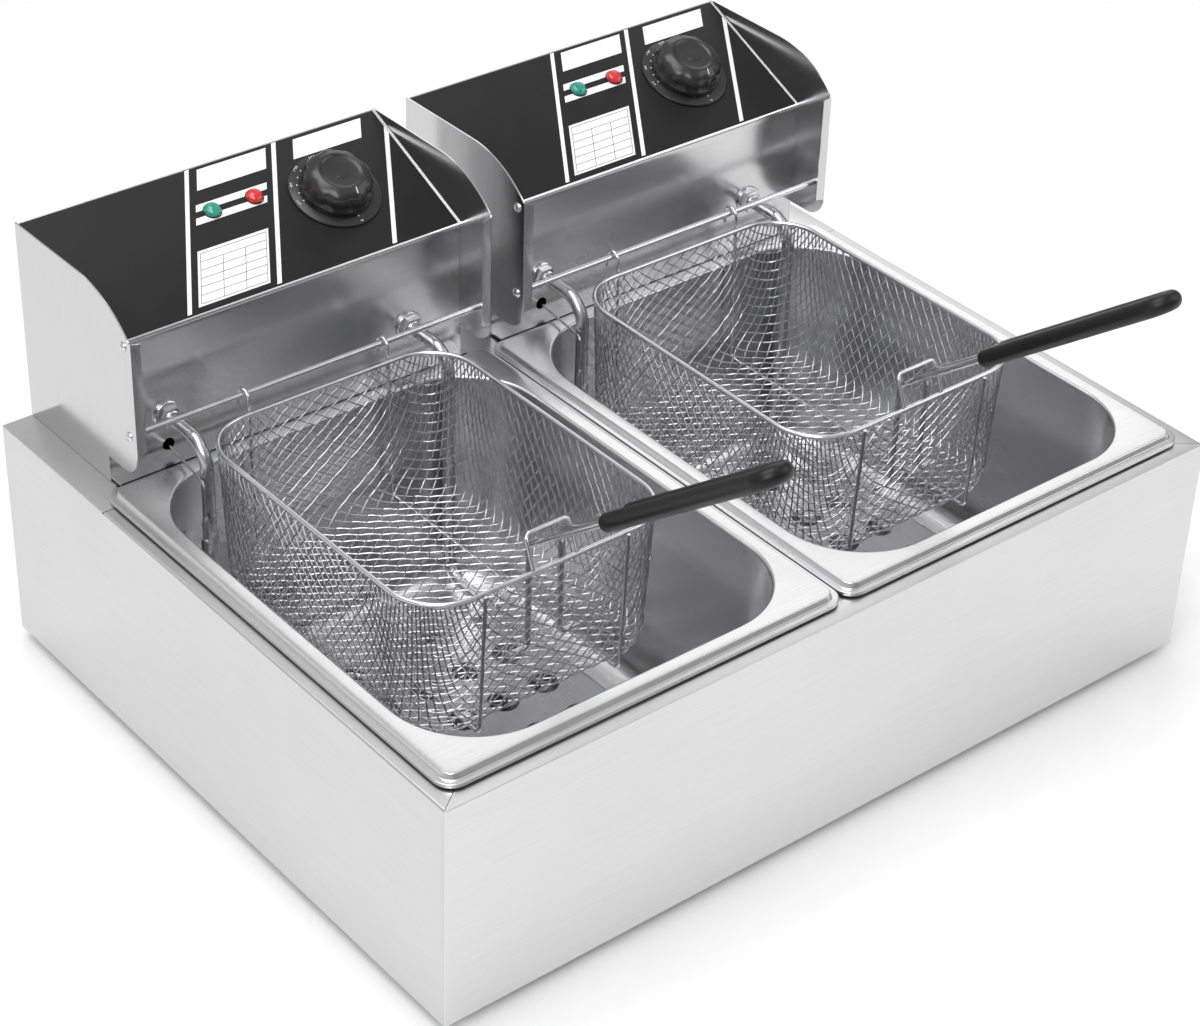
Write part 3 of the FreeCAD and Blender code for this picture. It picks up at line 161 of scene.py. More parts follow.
class Effects:
    """The surface effects that several finishes share, each built once as a node group."""

    @staticmethod
    def shared(name: str, label: str, value: float,
               mask: Callable[[Tree, Socket, Socket], Socket]) -> bpy.types.NodeTree:
        """Gives a group with a Vector input, a value input and a Mask output, made at its first use.

        Args:
            name: The group's name.
            label: The value input's name.
            value: Its default.
            mask: Wires the mask in a tree, from the vector and the value.

        Returns:
            The group.
        """
        known = bpy.data.node_groups.get(name)
        if known:
            return known
        group = bpy.data.node_groups.new(name, "ShaderNodeTree")
        group.interface.new_socket("Vector", in_out="INPUT", socket_type="NodeSocketVector")
        socket = group.interface.new_socket(label, in_out="INPUT", socket_type="NodeSocketFloat")
        socket.default_value = value
        group.interface.new_socket("Mask", in_out="OUTPUT", socket_type="NodeSocketFloat")
        tree = Tree(group)
        given, out = tree.add("NodeGroupInput"), tree.add("NodeGroupOutput")
        tree.feed(out.inputs["Mask"], mask(tree, given.outputs["Vector"], given.outputs[label]))
        return group

    @classmethod
    def streaks(cls) -> bpy.types.NodeTree:
        """Gives the group for the fine lines that brushing leaves, on stretched coordinates."""
        def mask(tree: Tree, place: Socket, contrast: Socket) -> Socket:
            """Adds a coarse and a fine noise and stretches their contrast."""
            coarse = tree.add("ShaderNodeTexNoise", Vector=place, Scale=1.0, Detail=3.0)
            fine = tree.add("ShaderNodeTexNoise", Vector=place, Scale=3.3, Detail=2.0)
            both = tree.maths("ADD", coarse.outputs[0], fine.outputs[0])
            ranged = tree.add("ShaderNodeMapRange", Value=both, From_Min=0.7, From_Max=1.3)
            return tree.maths("MULTIPLY", ranged.outputs["Result"], contrast)
        return cls.shared("brushed_streaks", "Contrast", 1.0, mask)

    @classmethod
    def clouds(cls) -> bpy.types.NodeTree:
        """Gives the group for soft patches, as wiping and handling leave them."""
        def mask(tree: Tree, place: Socket, size: Socket) -> Socket:
            """Stretches the contrast of one soft noise."""
            noise = tree.add("ShaderNodeTexNoise", Vector=place, Scale=size, Detail=5.0, Roughness=0.55)
            ranged = tree.add("ShaderNodeMapRange", Value=noise.outputs[0], From_Min=0.3, From_Max=0.7)
            return ranged.outputs["Result"]
        return cls.shared("soft_clouds", "Size", 10.0, mask)

    @classmethod
    def pores(cls) -> bpy.types.NodeTree:
        """Gives the group for the fine pebbling of mouldings, dipped grips and printed sheets."""
        def mask(tree: Tree, place: Socket, size: Socket) -> Socket:
            """Multiplies cells by a noise."""
            cells = tree.add("ShaderNodeTexVoronoi", Vector=place, Scale=size)
            noise = tree.add("ShaderNodeTexNoise", Vector=place, Scale=size, Detail=3.0)
            return tree.maths("MULTIPLY", cells.outputs["Distance"], noise.outputs[0])
        return cls.shared("fine_pores", "Size", 900.0, mask)


@dataclass(frozen=True)
class Finish:
    """What every finish has: its name and the record's slot that it stands for."""

    name: str
    slot: str

    def material(self) -> bpy.types.Material:
        """Gives the finish's material, made at its first use."""
        label = f"{self.name}_finish"
        known = bpy.data.materials.get(label)
        if known:
            return known
        material = bpy.data.materials.new(label)
        material.use_nodes = True
        material.node_tree.nodes.clear()
        tree = Tree(material.node_tree)
        surface = tree.add("ShaderNodeBsdfPrincipled")
        out = tree.add("ShaderNodeOutputMaterial")
        tree.feed(out.inputs["Surface"], surface.outputs[0])
        place = tree.add("ShaderNodeTexCoord").outputs["Object"]
        self.wire(tree, surface, place)
        return material

    def wire(self, tree: Tree, surface: bpy.types.Node, place: Socket) -> None:
        """Wires the finish's own nodes.

        Args:
            tree: The material's tree.
            surface: Its Principled node.
            place: The object coordinates.
        """
        raise NotImplementedError

    def effect(self, tree: Tree, group: bpy.types.NodeTree, **inputs: Any) -> Socket:
        """Places a shared effect in the material and gives its mask."""
        return tree.add("ShaderNodeGroup", {"node_tree": group}, **inputs).outputs["Mask"]


@dataclass(frozen=True)
class Steel(Finish):
    """Stainless sheet or wire, with brushed streaks, wiped patches and a bump along the grain."""

    dark: Colour
    light: Colour
    smooth: float
    rough: float
    grain: Grain
    relief: float
    patch: float = 9.0

    def wire(self, tree: Tree, surface: bpy.types.Node, place: Socket) -> None:
        """Wires the streaks into colour and bump, and the patches into roughness."""
        stretched = tree.add("ShaderNodeMapping", Vector=place, Scale=self.grain.value).outputs[0]
        streaks = self.effect(tree, Effects.streaks(), Vector=stretched)
        clouds = self.effect(tree, Effects.clouds(), Vector=place, Size=self.patch)
        colour = tree.mix(streaks, (*self.dark, 1.0), (*self.light, 1.0))
        bump = tree.add("ShaderNodeBump", Strength=self.relief, Distance=GRAIN_DEPTH, Height=streaks)
        tree.feed(surface.inputs["Base Color"], colour)
        tree.feed(surface.inputs["Roughness"], tree.spread(clouds, self.smooth, self.rough))
        tree.feed(surface.inputs["Normal"], bump.outputs[0])
        surface.inputs["Metallic"].default_value = 1.0


@dataclass(frozen=True)
class Moulded(Finish):
    """Plastic, rubber or print, with pores in its bump and wiped patches in its gloss."""

    dark: Colour
    light: Colour
    smooth: float
    rough: float
    pore: float
    relief: float
    gloss: float = 0.5

    def wire(self, tree: Tree, surface: bpy.types.Node, place: Socket) -> None:
        """Wires the pores into bump, and the patches into colour and roughness."""
        pores = self.effect(tree, Effects.pores(), Vector=place, Size=self.pore)
        clouds = self.effect(tree, Effects.clouds(), Vector=place, Size=WIPED_PATCH)
        bump = tree.add("ShaderNodeBump", Strength=self.relief, Distance=PORE_DEPTH, Height=pores)
        tree.feed(surface.inputs["Base Color"], tree.mix(clouds, (*self.dark, 1.0), (*self.light, 1.0)))
        tree.feed(surface.inputs["Roughness"], tree.spread(clouds, self.smooth, self.rough))
        tree.feed(surface.inputs["Normal"], bump.outputs[0])
        surface.inputs["Specular IOR Level"].default_value = self.gloss


@dataclass(frozen=True)
class Lens(Finish):
    """A coloured lamp lens, deeper in colour in patches, under a clear skin."""

    deep: Colour
    bright: Colour

    def wire(self, tree: Tree, surface: bpy.types.Node, place: Socket) -> None:
        """Wires the patches into colour and roughness."""
        clouds = self.effect(tree, Effects.clouds(), Vector=place, Size=LENS_PATCH)
        tree.feed(surface.inputs["Base Color"], tree.mix(clouds, (*self.deep, 1.0), (*self.bright, 1.0)))
        tree.feed(surface.inputs["Roughness"], tree.spread(clouds, 0.12, 0.24))
        surface.inputs["Coat Weight"].default_value = 0.7
        surface.inputs["Coat Roughness"].default_value = 0.04


CASING_FRONT = Steel("casing_front", "casing_steel", (0.68, 0.68, 0.685), (0.72, 0.72, 0.725), 0.30, 0.38,
                     Grain.ALONG_X, 0.04)
CASING_SIDE = Steel("casing_side", "casing_steel", (0.63, 0.63, 0.635), (0.67, 0.67, 0.675), 0.30, 0.38,
                    Grain.ALONG_Y, 0.04)
PAN_STEEL = Steel("pan_steel", "pan_steel", (0.64, 0.64, 0.645), (0.70, 0.70, 0.705), 0.22, 0.30,
                  Grain.ALONG_X, 0.02)
# The guard plate's steel is the pan's steel made darker as painted shade, for the plate that lies deep in the
# pan under the basket.
SHADED_GUARD_STEEL = Steel("shaded_guard_steel", "pan_steel", (0.46, 0.46, 0.47), (0.54, 0.54, 0.55), 0.24, 0.34,
                    Grain.ALONG_Y, 0.02)
HEAD_STEEL = Steel("head_steel", "head_steel", (0.61, 0.61, 0.615), (0.67, 0.67, 0.675), 0.20, 0.28,
                   Grain.ALONG_X, 0.015)
CHEEK_STEEL = Steel("cheek_steel", "head_steel", (0.59, 0.59, 0.595), (0.63, 0.63, 0.635), 0.14, 0.22,
                    Grain.ALONG_Z, 0.015)
BRIGHT_WIRE = Steel("bright_wire", "bright_wire", (0.60, 0.60, 0.61), (0.72, 0.72, 0.73), 0.12, 0.24,
                    Grain.EVEN, 0.02, 60.0)
MESH_WIRE = Steel("mesh_wire", "bright_wire", (0.48, 0.48, 0.49), (0.58, 0.58, 0.59), 0.16, 0.26,
                  Grain.EVEN, 0.01, 60.0)
ELEMENT_STEEL = Steel("element_steel", "element_steel", (0.46, 0.46, 0.47), (0.58, 0.58, 0.59), 0.22, 0.36,
                      Grain.EVEN, 0.04, 40.0)
OVERLAY_BLACK = Moulded("overlay_black", "overlay_black", (0.011, 0.011, 0.0115), (0.014, 0.014, 0.0145),
                        0.46, 0.56, 1500.0, 0.06, 0.2)
PRINT_WHITE = Moulded("print_white", "overlay_black", (0.76, 0.76, 0.76), (0.83, 0.83, 0.83),
                      0.48, 0.58, 1500.0, 0.05)
PRINT_BLACK = Moulded("print_black", "overlay_black", (0.016, 0.016, 0.016), (0.022, 0.022, 0.022),
                      0.5, 0.6, 1500.0, 0.05)
KNOB_BLACK = Moulded("knob_black", "knob_black", (0.010, 0.010, 0.0102), (0.016, 0.016, 0.0162),
                     0.22, 0.32, 1300.0, 0.07, 0.6)
KNOB_PRINT = Moulded("knob_print", "knob_black", (0.72, 0.72, 0.72), (0.8, 0.8, 0.8),
                     0.45, 0.55, 1300.0, 0.05)
MOULDING_BLACK = Moulded("moulding_black", "black_moulding", (0.016, 0.016, 0.016), (0.026, 0.026, 0.026),
                         0.42, 0.55, 1100.0, 0.1)
GRIP_BLACK = Moulded("grip_black", "grip_black", (0.005, 0.005, 0.0052), (0.009, 0.009, 0.0092),
                     0.30, 0.42, 700.0, 0.14, 0.3)
FOOT_RUBBER = Moulded("foot_rubber", "foot_rubber", (0.018, 0.018, 0.018), (0.03, 0.03, 0.03),
                      0.6, 0.75, 800.0, 0.2)
LENS_GREEN = Lens("lens_green", "lamp_green", (0.0, 0.16, 0.115), (0.01, 0.36, 0.27))
LENS_RED = Lens("lens_red", "lamp_red", (0.42, 0.006, 0.01), (0.66, 0.02, 0.022))


@dataclass(frozen=True)
class Seat:
    """Where a sub-assembly stands: the middle of its unit and the deck, in metres."""

    x: float
    deck: float

    def matrix(self) -> Matrix:
        """Gives the step from the unit's millimetres to the shared frame's metres."""
        return Matrix.Translation((self.x, 0.0, self.deck)) @ Matrix.Diagonal((MM, MM, MM, 1.0))


def read_seat(side: Side | None) -> Seat:
    """Reads a seat from the frame.

    Args:
        side: A unit, or None for the casing.

    Returns:
        The seat.
    """
    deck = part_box("rear_deck")[1].z
    if side is None:
        return Seat(0.0, deck)
    low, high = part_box(f"{side.value}_pan")
    return Seat((low.x + high.x) / 2, deck)


def set_down(name: str, draft: BMesh, seat: Seat, finish: Finish, body: str,
             stands_for: Sequence[str] = (), sharp: float = 35.0) -> bpy.types.Object:
    """Turns a draft in the unit's millimetres into a finished piece that rides on a body.

    Args:
        name: The piece's name.
        draft: Its mesh, freed here.
        seat: Where its unit stands.
        finish: Its finish.
        body: The body that carries it.
        stands_for: The solids that it replaces.
        sharp: The angle in degrees above which an edge stays sharp.

    Returns:
        The piece.
    """
    bmesh.ops.transform(draft, matrix=seat.matrix(), verts=draft.verts[:])
    mesh = bpy.data.meshes.new(name)
    draft.to_mesh(mesh)
    draft.free()
    mesh.polygons.foreach_set("use_smooth", [True] * len(mesh.polygons))
    mesh.set_sharp_from_angle(angle=math.radians(sharp))
    mesh.materials.append(finish.material())
    piece = bpy.data.objects.new(name, mesh)
    bpy.context.scene.collection.objects.link(piece)
    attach(piece, body)
    if stands_for:
        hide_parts(*stands_for)
    log.info("%s: %d faces on %s", name, len(mesh.polygons), body)
    return piece


def dress(node: str, finish: Finish) -> None:
    """Gives a carried-over solid its finish."""
    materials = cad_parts[node].data.materials
    materials.clear()
    materials.append(finish.material())
    log.info("%s: kept as %s", node, finish.name)


def grow(draft: BMesh, ring: list[BMVert], places: Sequence[Vector]) -> list[BMVert]:
    """Extrudes a closed ring of edges and moves the new ring into place.

    Args:
        draft: The mesh.
        ring: The ring's vertices in order.
        places: Where each new vertex goes.

    Returns:
        The new ring in the same order.
    """
    edges = [draft.edges.get((a, b)) for a, b in zip(ring, ring[1:] + ring[:1])]
    made = bmesh.ops.extrude_edge_only(draft, edges=edges)["geom"]
    fresh = {item for item in made if isinstance(item, BMVert)}
    grown = []
    for vert, place in zip(ring, places):
        twin = next(edge.other_vert(vert) for edge in vert.link_edges if edge.other_vert(vert) in fresh)
        twin.co = place
        grown.append(twin)
    return grown


def loft(rings: Sequence[Sequence[Vector]], cap_first: bool = False, cap_last: bool = False) -> BMesh:
    """Grows a skin through closed rings of as many points each.

    Args:
        rings: The rings in order.
        cap_first: Whether a face closes the first ring.
        cap_last: Whether a face closes the last ring.

    Returns:
        The draft.
    """
    draft = bmesh.new()
    first = [draft.verts.new(place) for place in rings[0]]
    for a, b in zip(first, first[1:] + first[:1]):
        draft.edges.new((a, b))
    ring = first
    for places in rings[1:]:
        ring = grow(draft, ring, places)
    if cap_first:
        draft.faces.new(first[::-1])
    if cap_last:
        draft.faces.new(ring)
    return draft


def spun(profile: Sequence[tuple[float, float]], steps: int = 48) -> BMesh:
    """Spins a profile of radius and height about the upright axis.

    Args:
        profile: The points in order, closed at the axis or on itself.
        steps: The steps of the full turn.

    Returns:
        The draft.
    """
    draft = bmesh.new()
    line = [draft.verts.new((radius, 0.0, height)) for radius, height in profile]
    edges = [draft.edges.new(pair) for pair in zip(line, line[1:])]
    bmesh.ops.spin(draft, geom=line + edges, cent=(0, 0, 0), axis=(0, 0, 1), dvec=(0, 0, 0),
                   angle=math.tau, steps=steps, use_merge=True)
    bmesh.ops.remove_doubles(draft, verts=draft.verts[:], dist=MERGE)
    bmesh.ops.recalc_face_normals(draft, faces=draft.faces[:])
    return draft


def folded(faces: Sequence[Sequence[Sequence[float]]], radius: float, thickness: float,
           segments: int = 4) -> BMesh:
    """Folds a sheet: its outer faces share edges, which are rounded, and it thickens inwards.

    Args:
        faces: The outer faces, each counter-clockwise as seen from outside.
        radius: The fold's radius.
        thickness: The sheet's thickness.
        segments: The steps of a fold.

    Returns:
        The draft.
    """
    draft = bmesh.new()
    for face in faces:
        draft.faces.new([draft.verts.new(place) for place in face])
    bmesh.ops.remove_doubles(draft, verts=draft.verts[:], dist=MERGE)
    folds = [edge for edge in draft.edges if len(edge.link_faces) == 2]
    if folds:
        bmesh.ops.bevel(draft, geom=folds, offset=radius, offset_type="OFFSET", segments=segments,
                        profile=0.5, affect="EDGES", material=-1)
    bmesh.ops.solidify(draft, geom=draft.faces[:], thickness=thickness)
    return draft


def rounded_loop(half_x: float, half_y: float, radius: float, z: float, middle: float = 0.0,
                 steps: int = 12) -> list[Vector]:
    """Gives a level rounded rectangle.

    Args:
        half_x: Half its size across.
        half_y: Half its size from front to back.
        radius: Its corner radius.
        z: Its height.
        middle: Its middle from front to back.
        steps: The steps of a corner.

    Returns:
        Its points, counter-clockwise from above.
    """
    points = []
    for corner in range(4):
        start = corner * math.pi / 2
        x = (half_x - radius) * (1 if corner in (0, 3) else -1)
        y = (half_y - radius) * (1 if corner in (0, 1) else -1)
        for step in range(steps + 1):
            angle = start + math.pi / 2 * step / steps
            points.append(Vector((x + radius * math.cos(angle), middle + y + radius * math.sin(angle), z)))
    return points


def circle(radius: float, count: int, x: float = 0.0, y: float = 0.0, z: float = 0.0) -> list[Vector]:
    """Gives a level circle.

    Args:
        radius: Its radius.
        count: How many points it has.
        x: Its middle across.
        y: Its middle from front to back.
        z: Its height.

    Returns:
        Its points, counter-clockwise from above.
    """
    turns = [k * math.tau / count for k in range(count)]
    return [Vector((x + radius * math.cos(turn), y + radius * math.sin(turn), z)) for turn in turns]


def bent(corners: Sequence[Sequence[float]], radii: Sequence[float] | float, closed: bool = False,
         steps: int = 10) -> list[Vector]:
    """Gives the line of a bent wire: straight runs joined by arcs.

    Args:
        corners: The line's corners, with its two ends unless it is closed.
        radii: The radius of each bend, or one for all.
        closed: Whether it runs back to its start.
        steps: The steps of a bend.

    Returns:
        The line's points.
    """
    spots = [Vector(corner) for corner in corners]
    turns = list(zip(spots[-1:] + spots[:-1], spots, spots[1:] + spots[:1]))
    if not closed:
        turns = turns[1:-1]
    bends = [radii] * len(turns) if isinstance(radii, (int, float)) else list(radii)
    points = [] if closed else [spots[0]]
    for (before, corner, after), radius in zip(turns, bends):
        back, ahead = (before - corner).normalized(), (after - corner).normalized()
        half = back.angle(ahead) / 2
        centre = corner + (back + ahead).normalized() * (radius / math.sin(half))
        first = corner + back * (radius / math.tan(half)) - centre
        last = corner + ahead * (radius / math.tan(half)) - centre
        swing = first.angle(last)
        for step in range(steps + 1):
            share = step / steps
            arm = first * math.sin((1 - share) * swing) + last * math.sin(share * swing)
            points.append(centre + arm / math.sin(swing))
    return points if closed else points + [spots[-1]]


def meshed(curve: bpy.types.Curve) -> BMesh:
    """Turns a curve into a draft and removes the curve.

    Args:
        curve: The curve, with its bevel or its text set.

    Returns:
        The draft.
    """
    holder = bpy.data.objects.new(curve.name, curve)
    mesh = bpy.data.meshes.new_from_object(holder)
    draft = bmesh.new()
    draft.from_mesh(mesh)
    bpy.data.objects.remove(holder)
    bpy.data.curves.remove(curve)
    bpy.data.meshes.remove(mesh)
    return draft


def drawn_wire(lines: Iterable[Sequence[Vector]], radius: float, closed: bool = False, facets: int = 3,
               swell: Sequence[float] | None = None) -> BMesh:
    """Draws round wire along lines.

    Args:
        lines: The lines.
        radius: The wire's radius.
        closed: Whether each line is a loop.
        facets: The fineness of the section, as a curve's bevel resolution.
        swell: A factor on the radius at each point of a line.

    Returns:
        The draft.
    """
    curve = bpy.data.curves.new("wire_line", "CURVE")
    curve.dimensions = "3D"
    curve.bevel_depth = radius
    curve.bevel_resolution = facets
    curve.use_fill_caps = True
    for line in lines:
        spline = curve.splines.new("POLY")
        spline.points.add(len(line) - 1)
        for index, place in enumerate(line):
            spline.points[index].co = (*place, 1.0)
            if swell:
                spline.points[index].radius = swell[index]
        spline.use_cyclic_u = closed
    draft = meshed(curve)
    bmesh.ops.remove_doubles(draft, verts=draft.verts[:], dist=MERGE)
    return draft


def plate(outline: Sequence[Vector], thickness: float, edge: float = 0.0) -> BMesh:
    """Raises a flat outline into a plate.

    Args:
        outline: Its points, counter-clockwise from above, at its lower level.
        thickness: How far it is raised along Z.
        edge: The bevel of its upper edge.

    Returns:
        The draft.
    """
    draft = bmesh.new()
    face = draft.faces.new([draft.verts.new(place) for place in outline])
    made = bmesh.ops.extrude_face_region(draft, geom=[face])["geom"]
    raised = [item for item in made if isinstance(item, BMVert)]
    bmesh.ops.translate(draft, verts=raised, vec=(0, 0, thickness))
    bmesh.ops.recalc_face_normals(draft, faces=draft.faces[:])
    if edge:
        rim = [item for item in draft.edges if all(vert in raised for vert in item.verts)]
        bmesh.ops.bevel(draft, geom=rim, offset=edge, offset_type="OFFSET", segments=2, profile=0.5,
                        affect="EDGES", material=-1)
    return draft


def join(drafts: Sequence[BMesh]) -> BMesh:
    """Puts several drafts into the first one.

    Args:
        drafts: The drafts; all but the first are freed.

    Returns:
        The first draft.
    """
    whole = drafts[0]
    for part in drafts[1:]:
        mesh = bpy.data.meshes.new("joined")
        part.to_mesh(mesh)
        part.free()
        whole.from_mesh(mesh)
        bpy.data.meshes.remove(mesh)
    return whole


def moved(draft: BMesh, matrix: Matrix) -> BMesh:
    """Moves a draft by a matrix and gives it back."""
    bmesh.ops.transform(draft, matrix=matrix, verts=draft.verts[:])
    return draft


@dataclass
class Casing:
    """The folded casing with its deck and feet, in millimetres from the deck's middle."""

    seat: Seat
    half_width: float = 280.0
    half_depth: float = 218.0
    height: float = 146.0
    sheet: float = 1.0
    skin: float = 0.9
    back_skin: float = 0.8
    fold: float = 1.6
    tight_fold: float = 0.7
    deck_fold: float = 0.5
    seam: float = 0.5
    gap: float = 0.1
    well_x: float = 260.0
    well_front: float = -202.5
    well_back: float = 105.5
    deck_cut: float = 123.6
    deck_rib: float = 12.0
    foot_height: float = 8.0
    foot_radius: float = 14.0
    foot_inset: float = 45.0

    def build(self) -> None:
        """Builds the panels, the deck and the feet."""
        self.front_panel()
        for sign, side in ((-1, Side.LEFT), (1, Side.RIGHT)):
            self.side_panel(sign, side)
        self.back_panel()
        self.rear_deck()
        self.feet()
        dress("centre_rail", CASING_SIDE)
        dress("base_plate", CASING_FRONT)

    def front_panel(self) -> None:
        """Folds the front wall with its deck flange and its two corner returns."""
        w, d, h = self.half_width, -self.half_depth, -self.height
        back = d + self.sheet
        wall = [(-w, d, h), (w, d, h), (w, d, 0), (-w, d, 0)]
        flange = [(-w, d, 0), (w, d, 0), (self.well_x, self.well_front, 0),
                  (-self.well_x, self.well_front, 0)]
        left = [(-w, back, h), (-w, d, h), (-w, d, 0), (-w, back, 0)]
        right = [(w, d, h), (w, back, h), (w, back, 0), (w, d, 0)]
        draft = folded([wall, flange, left, right], self.tight_fold, self.skin)
        set_down("front_panel_sheet", draft, self.seat, CASING_FRONT, "casing", ["front_panel"])

    def side_panel(self, sign: int, side: Side) -> None:
        """Folds one side wall with its mitred deck flange.

        Args:
            sign: -1 for the left side, 1 for the right.
            side: The side's name.
        """
        w, h = self.half_width, -self.height
        front, back = self.sheet - self.half_depth + self.gap, self.half_depth - self.sheet
        stop, under = self.well_back - self.seam, -self.sheet - self.gap
        wall = [(-w, back, h), (-w, front, h), (-w, front, 0), (-w, stop, 0), (-w, stop, under),
                (-w, back, under)]
        flange = [(-w, front, 0), (-self.well_x, self.well_front + self.seam, 0), (-self.well_x, stop, 0),
                  (-w, stop, 0)]
        faces = [[(-sign * x, y, z) for x, y, z in face] for face in (wall, flange)]
        if sign > 0:
            faces = [face[::-1] for face in faces]
        set_down(f"{side.value}_side_sheet", folded(faces, self.fold, self.skin), self.seat, CASING_SIDE,
                 "casing", [f"{side.value}_side_panel"])

    def back_panel(self) -> None:
        """Folds the back wall with short returns round the corners."""
        w, d, h = self.half_width, self.half_depth, -self.height
        top, front = -self.sheet - self.gap, d - self.sheet + self.gap
        wall = [(w, d, h), (-w, d, h), (-w, d, top), (w, d, top)]
        left = [(-w, d, h), (-w, front, h), (-w, front, top), (-w, d, top)]
        right = [(w, front, h), (w, d, h), (w, d, top), (w, front, top)]
        draft = folded([wall, left, right], self.tight_fold, self.back_skin)
        set_down("back_panel_sheet", draft, self.seat, CASING_FRONT, "casing", ["back_panel"])

    def rear_deck(self) -> None:
        """Folds the deck plate behind the pans, cut back behind each pan."""
        w, front, back, low = self.half_width, self.well_back, self.half_depth, -self.sheet
        cut, well, rib = self.deck_cut, self.well_x, self.deck_rib
        top = [(-w, front, 0), (-well, front, 0), (-well, cut, 0), (-rib, cut, 0), (-rib, front, 0),
               (rib, front, 0), (rib, cut, 0), (well, cut, 0), (well, front, 0), (w, front, 0), (w, back, 0),
               (-w, back, 0)]
        left = [(-w, back, low), (-w, front, low), (-w, front, 0), (-w, back, 0)]
        right = [(w, front, low), (w, back, low), (w, back, 0), (w, front, 0)]
        rear = [(w, back, low), (-w, back, low), (-w, back, 0), (w, back, 0)]
        draft = folded([top, left, right, rear], self.deck_fold, self.back_skin, 3)
        set_down("rear_deck_sheet", draft, self.seat, CASING_FRONT, "casing", ["rear_deck"])

    def feet(self) -> None:
        """Moulds the four feet with a rounded tread."""
        bottom, r = -self.height - self.foot_height, self.foot_radius
        profile = [(0, bottom), (r - 3.6, bottom), (r - 2.6, bottom + 0.5), (r - 2.2, bottom + 1.4),
                   (r - 0.6, bottom + 5), (r, bottom + 6.2), (r, bottom + self.foot_height),
                   (0, bottom + self.foot_height)]
        drafts = []
        for x in (-1, 1):
            for y in (-1, 1):
                place = (x * (self.half_width - self.foot_inset), y * (self.half_depth - self.foot_inset), 0)
                drafts.append(moved(spun(profile, 32), Matrix.Translation(place)))
        set_down("feet", join(drafts), self.seat, FOOT_RUBBER, "casing", ["rubber_feet"])


@dataclass
class Unit:
    """What the pan, the head and the basket of a unit share: where they stand and how pieces are set down."""

    seat: Seat
    side: Side
    body: ClassVar[str]
    sharp: ClassVar[float] = 35.0

    def name(self, piece: str) -> str:
        """Gives a piece's full name on this unit."""
        return f"{self.side.value}_{piece}"

    def lay(self, piece: str, draft: BMesh, finish: Finish, node: str = "", body: str = "",
            sharp: float = 0.0) -> None:
        """Sets down a piece of this unit.

        Args:
            piece: Its name.
            draft: Its mesh, freed here.
            finish: Its finish.
            node: The solid that it replaces, if any.
            body: The body that carries it, if that isn't the sub-assembly's own.
            sharp: The angle in degrees above which an edge stays sharp, if that isn't the usual one.
        """
        set_down(self.name(piece), draft, self.seat, finish, self.name(body or self.body),
                 [self.name(node)] if node else (), sharp or self.sharp)


@dataclass
class Pan(Unit):
    """One pressed pan, in millimetres from its unit's middle and the deck."""

    body: ClassVar[str] = "pan"
    sharp: ClassVar[float] = 50.0
    half_width: float = 135.5
    half_length: float = 163.3
    shift: float = -1.1
    middle: float = -45.6
    flange: float = 14.0
    top: float = 7.0
    skirt: float = 1.6
    depth: float = 147.0
    rim_corner: float = 11.5
    corner: float = 52.0
    taper: float = 1.6
    floor_radius: float = 14.0
    edge: float = 3.8
    edge_top: float = 3.7
    step: float = 1.1
    land: float = 2.0
    rim_bends: tuple[float, ...] = (0.5, 0.5, 0.7)
    lip: float = 2.2
    sheet: float = 0.9

    def ring(self, inset: float, z: float, corner: float) -> list[Vector]:
        """Gives the ring at an inset from the flange's edge, with its height and corner radius."""
        points = rounded_loop(self.half_width - inset, self.half_length - inset, corner, z, self.middle, 16)
        return [point + Vector((self.shift, 0, 0)) for point in points]

    def build(self) -> None:
        """Presses the pan from its skirt over the stepped flange down to the floor."""
        inner = self.edge + self.step
        profile = bent([(0, self.skirt, 0), (0, self.edge_top, 0), (self.edge, self.edge_top, 0),
                        (inner, self.top, 0), (inner + self.land, self.top, 0)], self.rim_bends, steps=4)
        rings = [self.ring(inset, z, self.rim_corner - inset) for inset, z, _ in profile]
        rings += self.wall_rings()
        draft = loft(rings, cap_last=True)
        bmesh.ops.recalc_face_normals(draft, faces=draft.faces[:])
        bmesh.ops.solidify(draft, geom=draft.faces[:], thickness=self.sheet)
        self.lay("pan_pressing", draft, PAN_STEEL, "pan")

    def wall_rings(self) -> list[list[Vector]]:
        """Gives the rings from the lip of the opening to the floor."""
        rings = []
        lean = math.radians(self.taper)
        for step in range(6):
            angle = (math.pi / 2 - lean) * step / 5
            inset = self.flange - self.lip * (1 - math.sin(angle))
            rings.append(self.ring(inset, self.top - self.lip * (1 - math.cos(angle)),
                                   self.corner + self.flange - inset))
        floor = self.top - self.depth
        bend_top = floor + self.floor_radius * (1 - math.sin(lean))
        wall_low = self.flange + (self.top - bend_top) * math.tan(lean)
        for step in range(9):
            angle = lean + (math.pi / 2 - lean) * step / 8
            inset = wall_low + self.floor_radius * (math.cos(lean) - math.cos(angle))
            rings.append(self.ring(inset, floor + self.floor_radius * (1 - math.sin(angle)),
                                   self.corner + self.flange - inset))
        return rings


